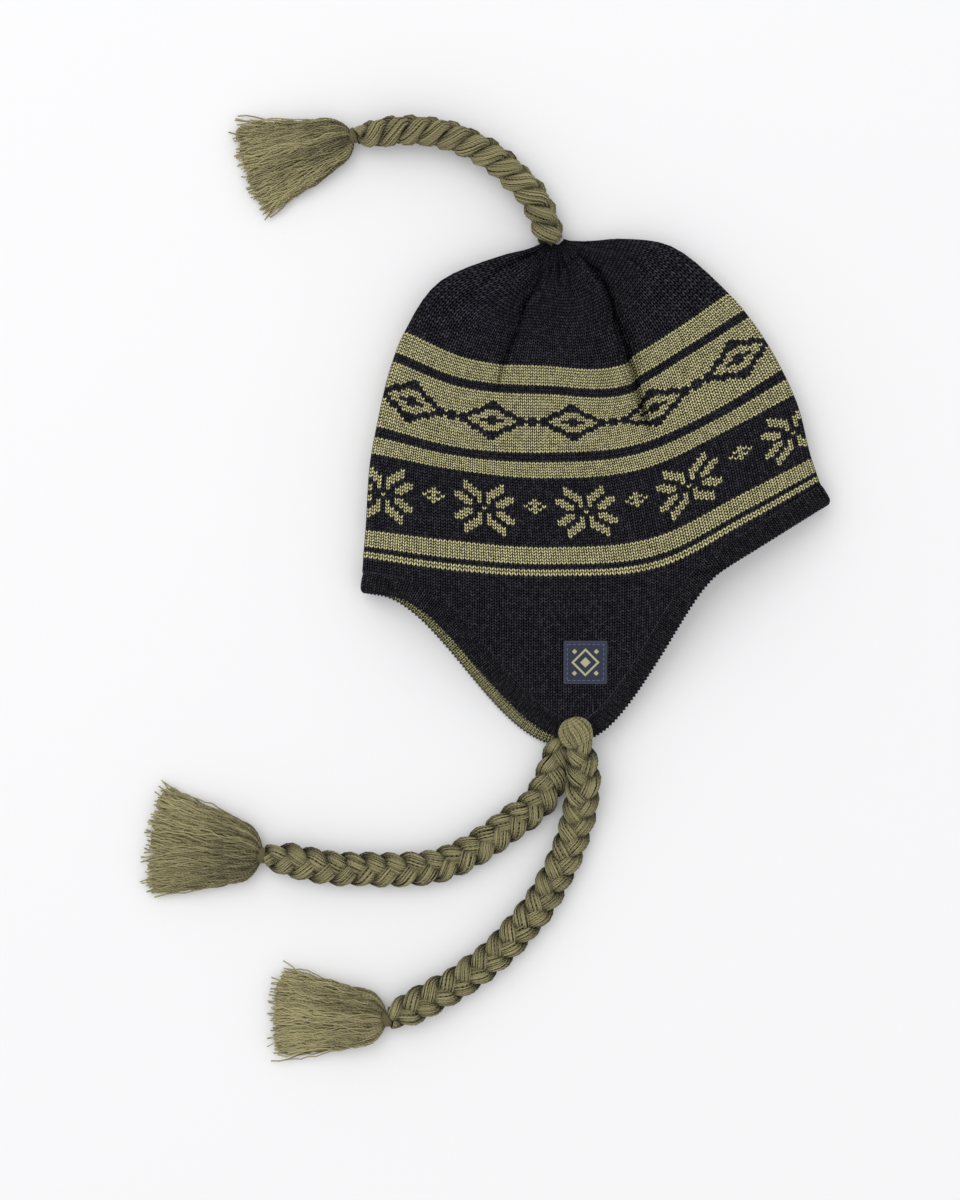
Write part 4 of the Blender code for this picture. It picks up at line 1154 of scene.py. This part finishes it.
def yarn_material(name, bright, dark, ply_depth, end_highlight=0.0):
    """Loose yarn, for the ties and the tassels. Its last value makes it darker by the neck and
    lighter towards its cut ends, as painted shade and painted highlight.
    """
    material = plain_material(name, 0.9, 0.1, 0.05)
    tree, m, uv, _, walked = mapped(material, "stitch")
    ply = add_node(tree, "Group", {}, node_tree=plied)
    tree.links.new(uv, ply.inputs[0])
    height, fibre = ply.outputs["Height"], ply.outputs["Fibre"]
    number = add_node(tree, "Attribute", {}, attribute_name="yarn_tone_and_shade").outputs["Fac"]
    # The colour share takes the attribute's tone, which holds painted shade on the ties and tassels,
    # and the ply's height, which darkens the ply's grooves as painted shade, and fine fibres.
    base = m("MULTIPLY_ADD", number, 0.62, m("MULTIPLY", height, 0.75))
    neck_shade_end_highlight = m("MULTIPLY_ADD", walked, MILLIMETRE / TASSEL_LENGTH * end_highlight, -0.5 * end_highlight)
    share = m("MULTIPLY_ADD", fibre, 0.9, m("ADD", m("ADD", base, neck_shade_end_highlight), -0.68), clamp=True)
    return finished(material, mixed(tree, share, linear(dark), linear(bright)),
                    m("MULTIPLY_ADD", fibre, 0.6, height), 0.7, ply_depth)


def patch_material():
    """Navy woven cloth with a lighter border, a dashed line of stitches and a plain diamond."""
    material = plain_material("woven navy patch", 0.7, 0.12, 0.1)
    tree, m, _, x, y = mapped(material, "patch")

    def between(value, low, high):
        return m("MULTIPLY", m("GREATER_THAN", value, low), m("LESS_THAN", value, high))

    def away_from(value, centre):
        return m("ABSOLUTE", m("SUBTRACT", value, centre))
    ax, ay = m("ABSOLUTE", x), m("ABSOLUTE", y)
    outer = m("MAXIMUM", ax, ay)
    border = m("GREATER_THAN", outer, 0.455)
    dash_x, dash_y = (m("GREATER_THAN", m("FRACT", m("MULTIPLY", way, 9.0)), 0.38) for way in (x, y))
    sideways = m("GREATER_THAN", ax, ay)
    upright = m("SUBTRACT", 1.0, sideways)
    dash = m("ADD", m("MULTIPLY", sideways, dash_y), m("MULTIPLY", upright, dash_x))
    dash = m("MULTIPLY", between(outer, 0.405, 0.428), dash, clamp=True)
    slant = m("ADD", ax, ay)
    dots = m("LESS_THAN", m("ADD", away_from(ax, 0.25), away_from(ay, 0.25)), 0.06)
    motif = m("MAXIMUM", m("MAXIMUM", between(slant, 0.26, 0.325), m("LESS_THAN", slant, 0.12)), dots)
    threads = [m("SINE", m("MULTIPLY", way, 2 * math.pi * 44)) for way in (x, y)]
    weave = m("MULTIPLY_ADD", m("MULTIPLY", *threads), 0.5, 0.5)
    color = mixed(tree, weave, linear((34, 37, 52)), linear((60, 64, 80)))
    for mask, paint in ((border, (58, 62, 80)), (dash, (88, 93, 112)), (motif, (176, 172, 138))):
        color = mixed(tree, mask, color, linear(paint))
    raised = m("MULTIPLY_ADD", m("MAXIMUM", dash, border), 1.4, m("MULTIPLY", motif, 0.8))
    return finished(material, color, m("ADD", raised, m("MULTIPLY", weave, 0.4)), 0.8, 0.00018)


def dress(item, node, surface):
    """Give a piece its material and its slot, and let it stand for its part of the frame."""
    item.data.materials.append(surface)
    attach(item, "root")
    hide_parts(node)


# Camera
camera = bpy.data.objects.new("camera", bpy.data.cameras.new("camera"))
bpy.context.scene.collection.objects.link(camera)
camera.data.sensor_fit = "HORIZONTAL"
camera.data.sensor_width = SENSOR
camera.data.lens = SENSOR * (CAMERA_HEIGHT - SCALE_HEIGHT) / (PHOTO_WIDTH * PIXEL)
camera.location = ((PHOTO_WIDTH / 2 - PHOTO_ORIGIN[0]) * PIXEL,
                   (PHOTO_ORIGIN[1] - PHOTO_HEIGHT / 2) * PIXEL, CAMERA_HEIGHT)
bpy.context.scene.camera = camera

# Ties. weave is the way that the plait points, bob how far its strands go up and down,
# and swell the place along a strand where it is plumpest.
stitches, plied = stitch_group(), yarn_group()
braid_yarn = yarn_material("olive braid yarn", (176, 168, 124), (18, 15, 7), 0.0003)
wound_yarn = yarn_material("wound yarn", (128, 120, 84), (100, 93, 64), 0.0001)
tassel_yarn = yarn_material("olive tassel yarn", (184, 175, 130), (30, 26, 13), 0.0002, 0.5)
near_tip, far_tip = flap_tip(False), flap_tip(True)
crown_tip = (HAT_WIDTH * course_row(COURSES[0].low)[1], TOP_Y)
flat_bob = BRAID_THICKNESS / 2 - STRAND_HALF_HEIGHT
Tie = namedtuple("Tie", "route start thickness half_height root_share root_back roll weave bob swell "
                        "phase length")
TIES = {
    "near": Tie(NEAR_ROUTE, near_tip, BRAID_THICKNESS, STRAND_HALF_HEIGHT, 0.72, 0.006, 0.0, -1,
                flat_bob, -1.3, 0.4, 0.192),
    "far": Tie(FAR_ROUTE, far_tip, BRAID_THICKNESS, STRAND_HALF_HEIGHT, 0.75, 0.003, 0.0, 1,
               flat_bob, 1.3, 2.1, 0.181),
    "crown": Tie(CROWN_ROUTE, crown_tip, BRAID_WIDTH, 0.0041, 0.98, 0.0005, CROWN_ROLL, 1,
                 CROWN_BOB, math.pi, 1.6, 0.126),
}
for tassel in TASSELS:
    tie = TIES[tassel.braid]
    plait, line, heading = braid(tassel.braid + "_plaited_tie", tie)
    fan = tassel_piece(tassel, line[-1], heading)
    winding = tie_piece(tassel, line[-1], heading)
    dress(plait, tassel.braid + "_braid", braid_yarn)
    dress(fan, tassel.braid + "_tassel", tassel_yarn)
    dress(winding, tassel.braid + "_tassel_tie", wound_yarn)

# Knitting, binding, patch and loop
# The last two colours of each are the dark and the olive yarn in the hollows of a stitch: painted
# shade.
knit = knit_material("knitted wool", (54, 53, 61), (228, 221, 168), (2, 2, 2), (32, 28, 15))
rib = knit_material("ribbed wool", (54, 53, 59), (238, 232, 176), (2, 2, 2), (46, 42, 24))
for item in (
        knit_band(),
        knit_crown("crown_knitting", DECREASE, CROWN_EDGE, CROWN_WALES),
        knit_crown("gathered_crown_knitting", GATHERED, DECREASE, TIP_WALES),
        knit_crown("crown_tip_knitting", COURSES[0].low, GATHERED, CLOSING_WALES),
        lining()):
    dress(item, "knit_body", knit)
dress(rib_binding(), "rim_binding", rib)
dress(patch_piece(near_tip), "label_patch", patch_material())
dress(root_loop(near_tip), "near_root_loop", braid_yarn)
seam_thread = yarn_material("seam thread", (66, 66, 74), (22, 22, 26), 0.0001)
dress(seam_stitches(), "rim_binding", seam_thread)

# Floor and light
bpy.ops.object.select_all(action="DESELECT")
bpy.ops.mesh.primitive_plane_add(size=FLOOR_SIZE, location=(0, 0, -FLOOR_BELOW))
floor = bpy.context.active_object
floor.name = "pale_floor"
settle(floor)
paint = plain_material("pale_floor", 0.9, 0.1)
floor_shader = paint.node_tree.nodes["Principled BSDF"]
floor_shader.inputs["Base Color"].default_value = (FLOOR_ALBEDO,) * 3 + (1.0,)
floor.data.materials.append(paint)
bpy.context.scene.view_settings.view_transform = "Standard"

world = bpy.data.worlds.new("studio")
world.use_nodes = True
sky = world.node_tree.nodes["Background"]
sky.inputs["Color"].default_value = SKY_COLOR
sky.inputs["Strength"].default_value = SKY_STRENGTH
bpy.context.scene.world = world
for name, place, size, power in LAMPS:
    lamp = bpy.data.lights.new(name, "AREA")
    lamp.size = size
    lamp.energy = power
    item = bpy.data.objects.new(name, lamp)
    item.location = place
    bpy.context.scene.collection.objects.link(item)
    x, y, z = place
    item.rotation_euler = (math.atan2(math.hypot(x, y), z), 0.0, math.atan2(-y, -x) - math.pi / 2)
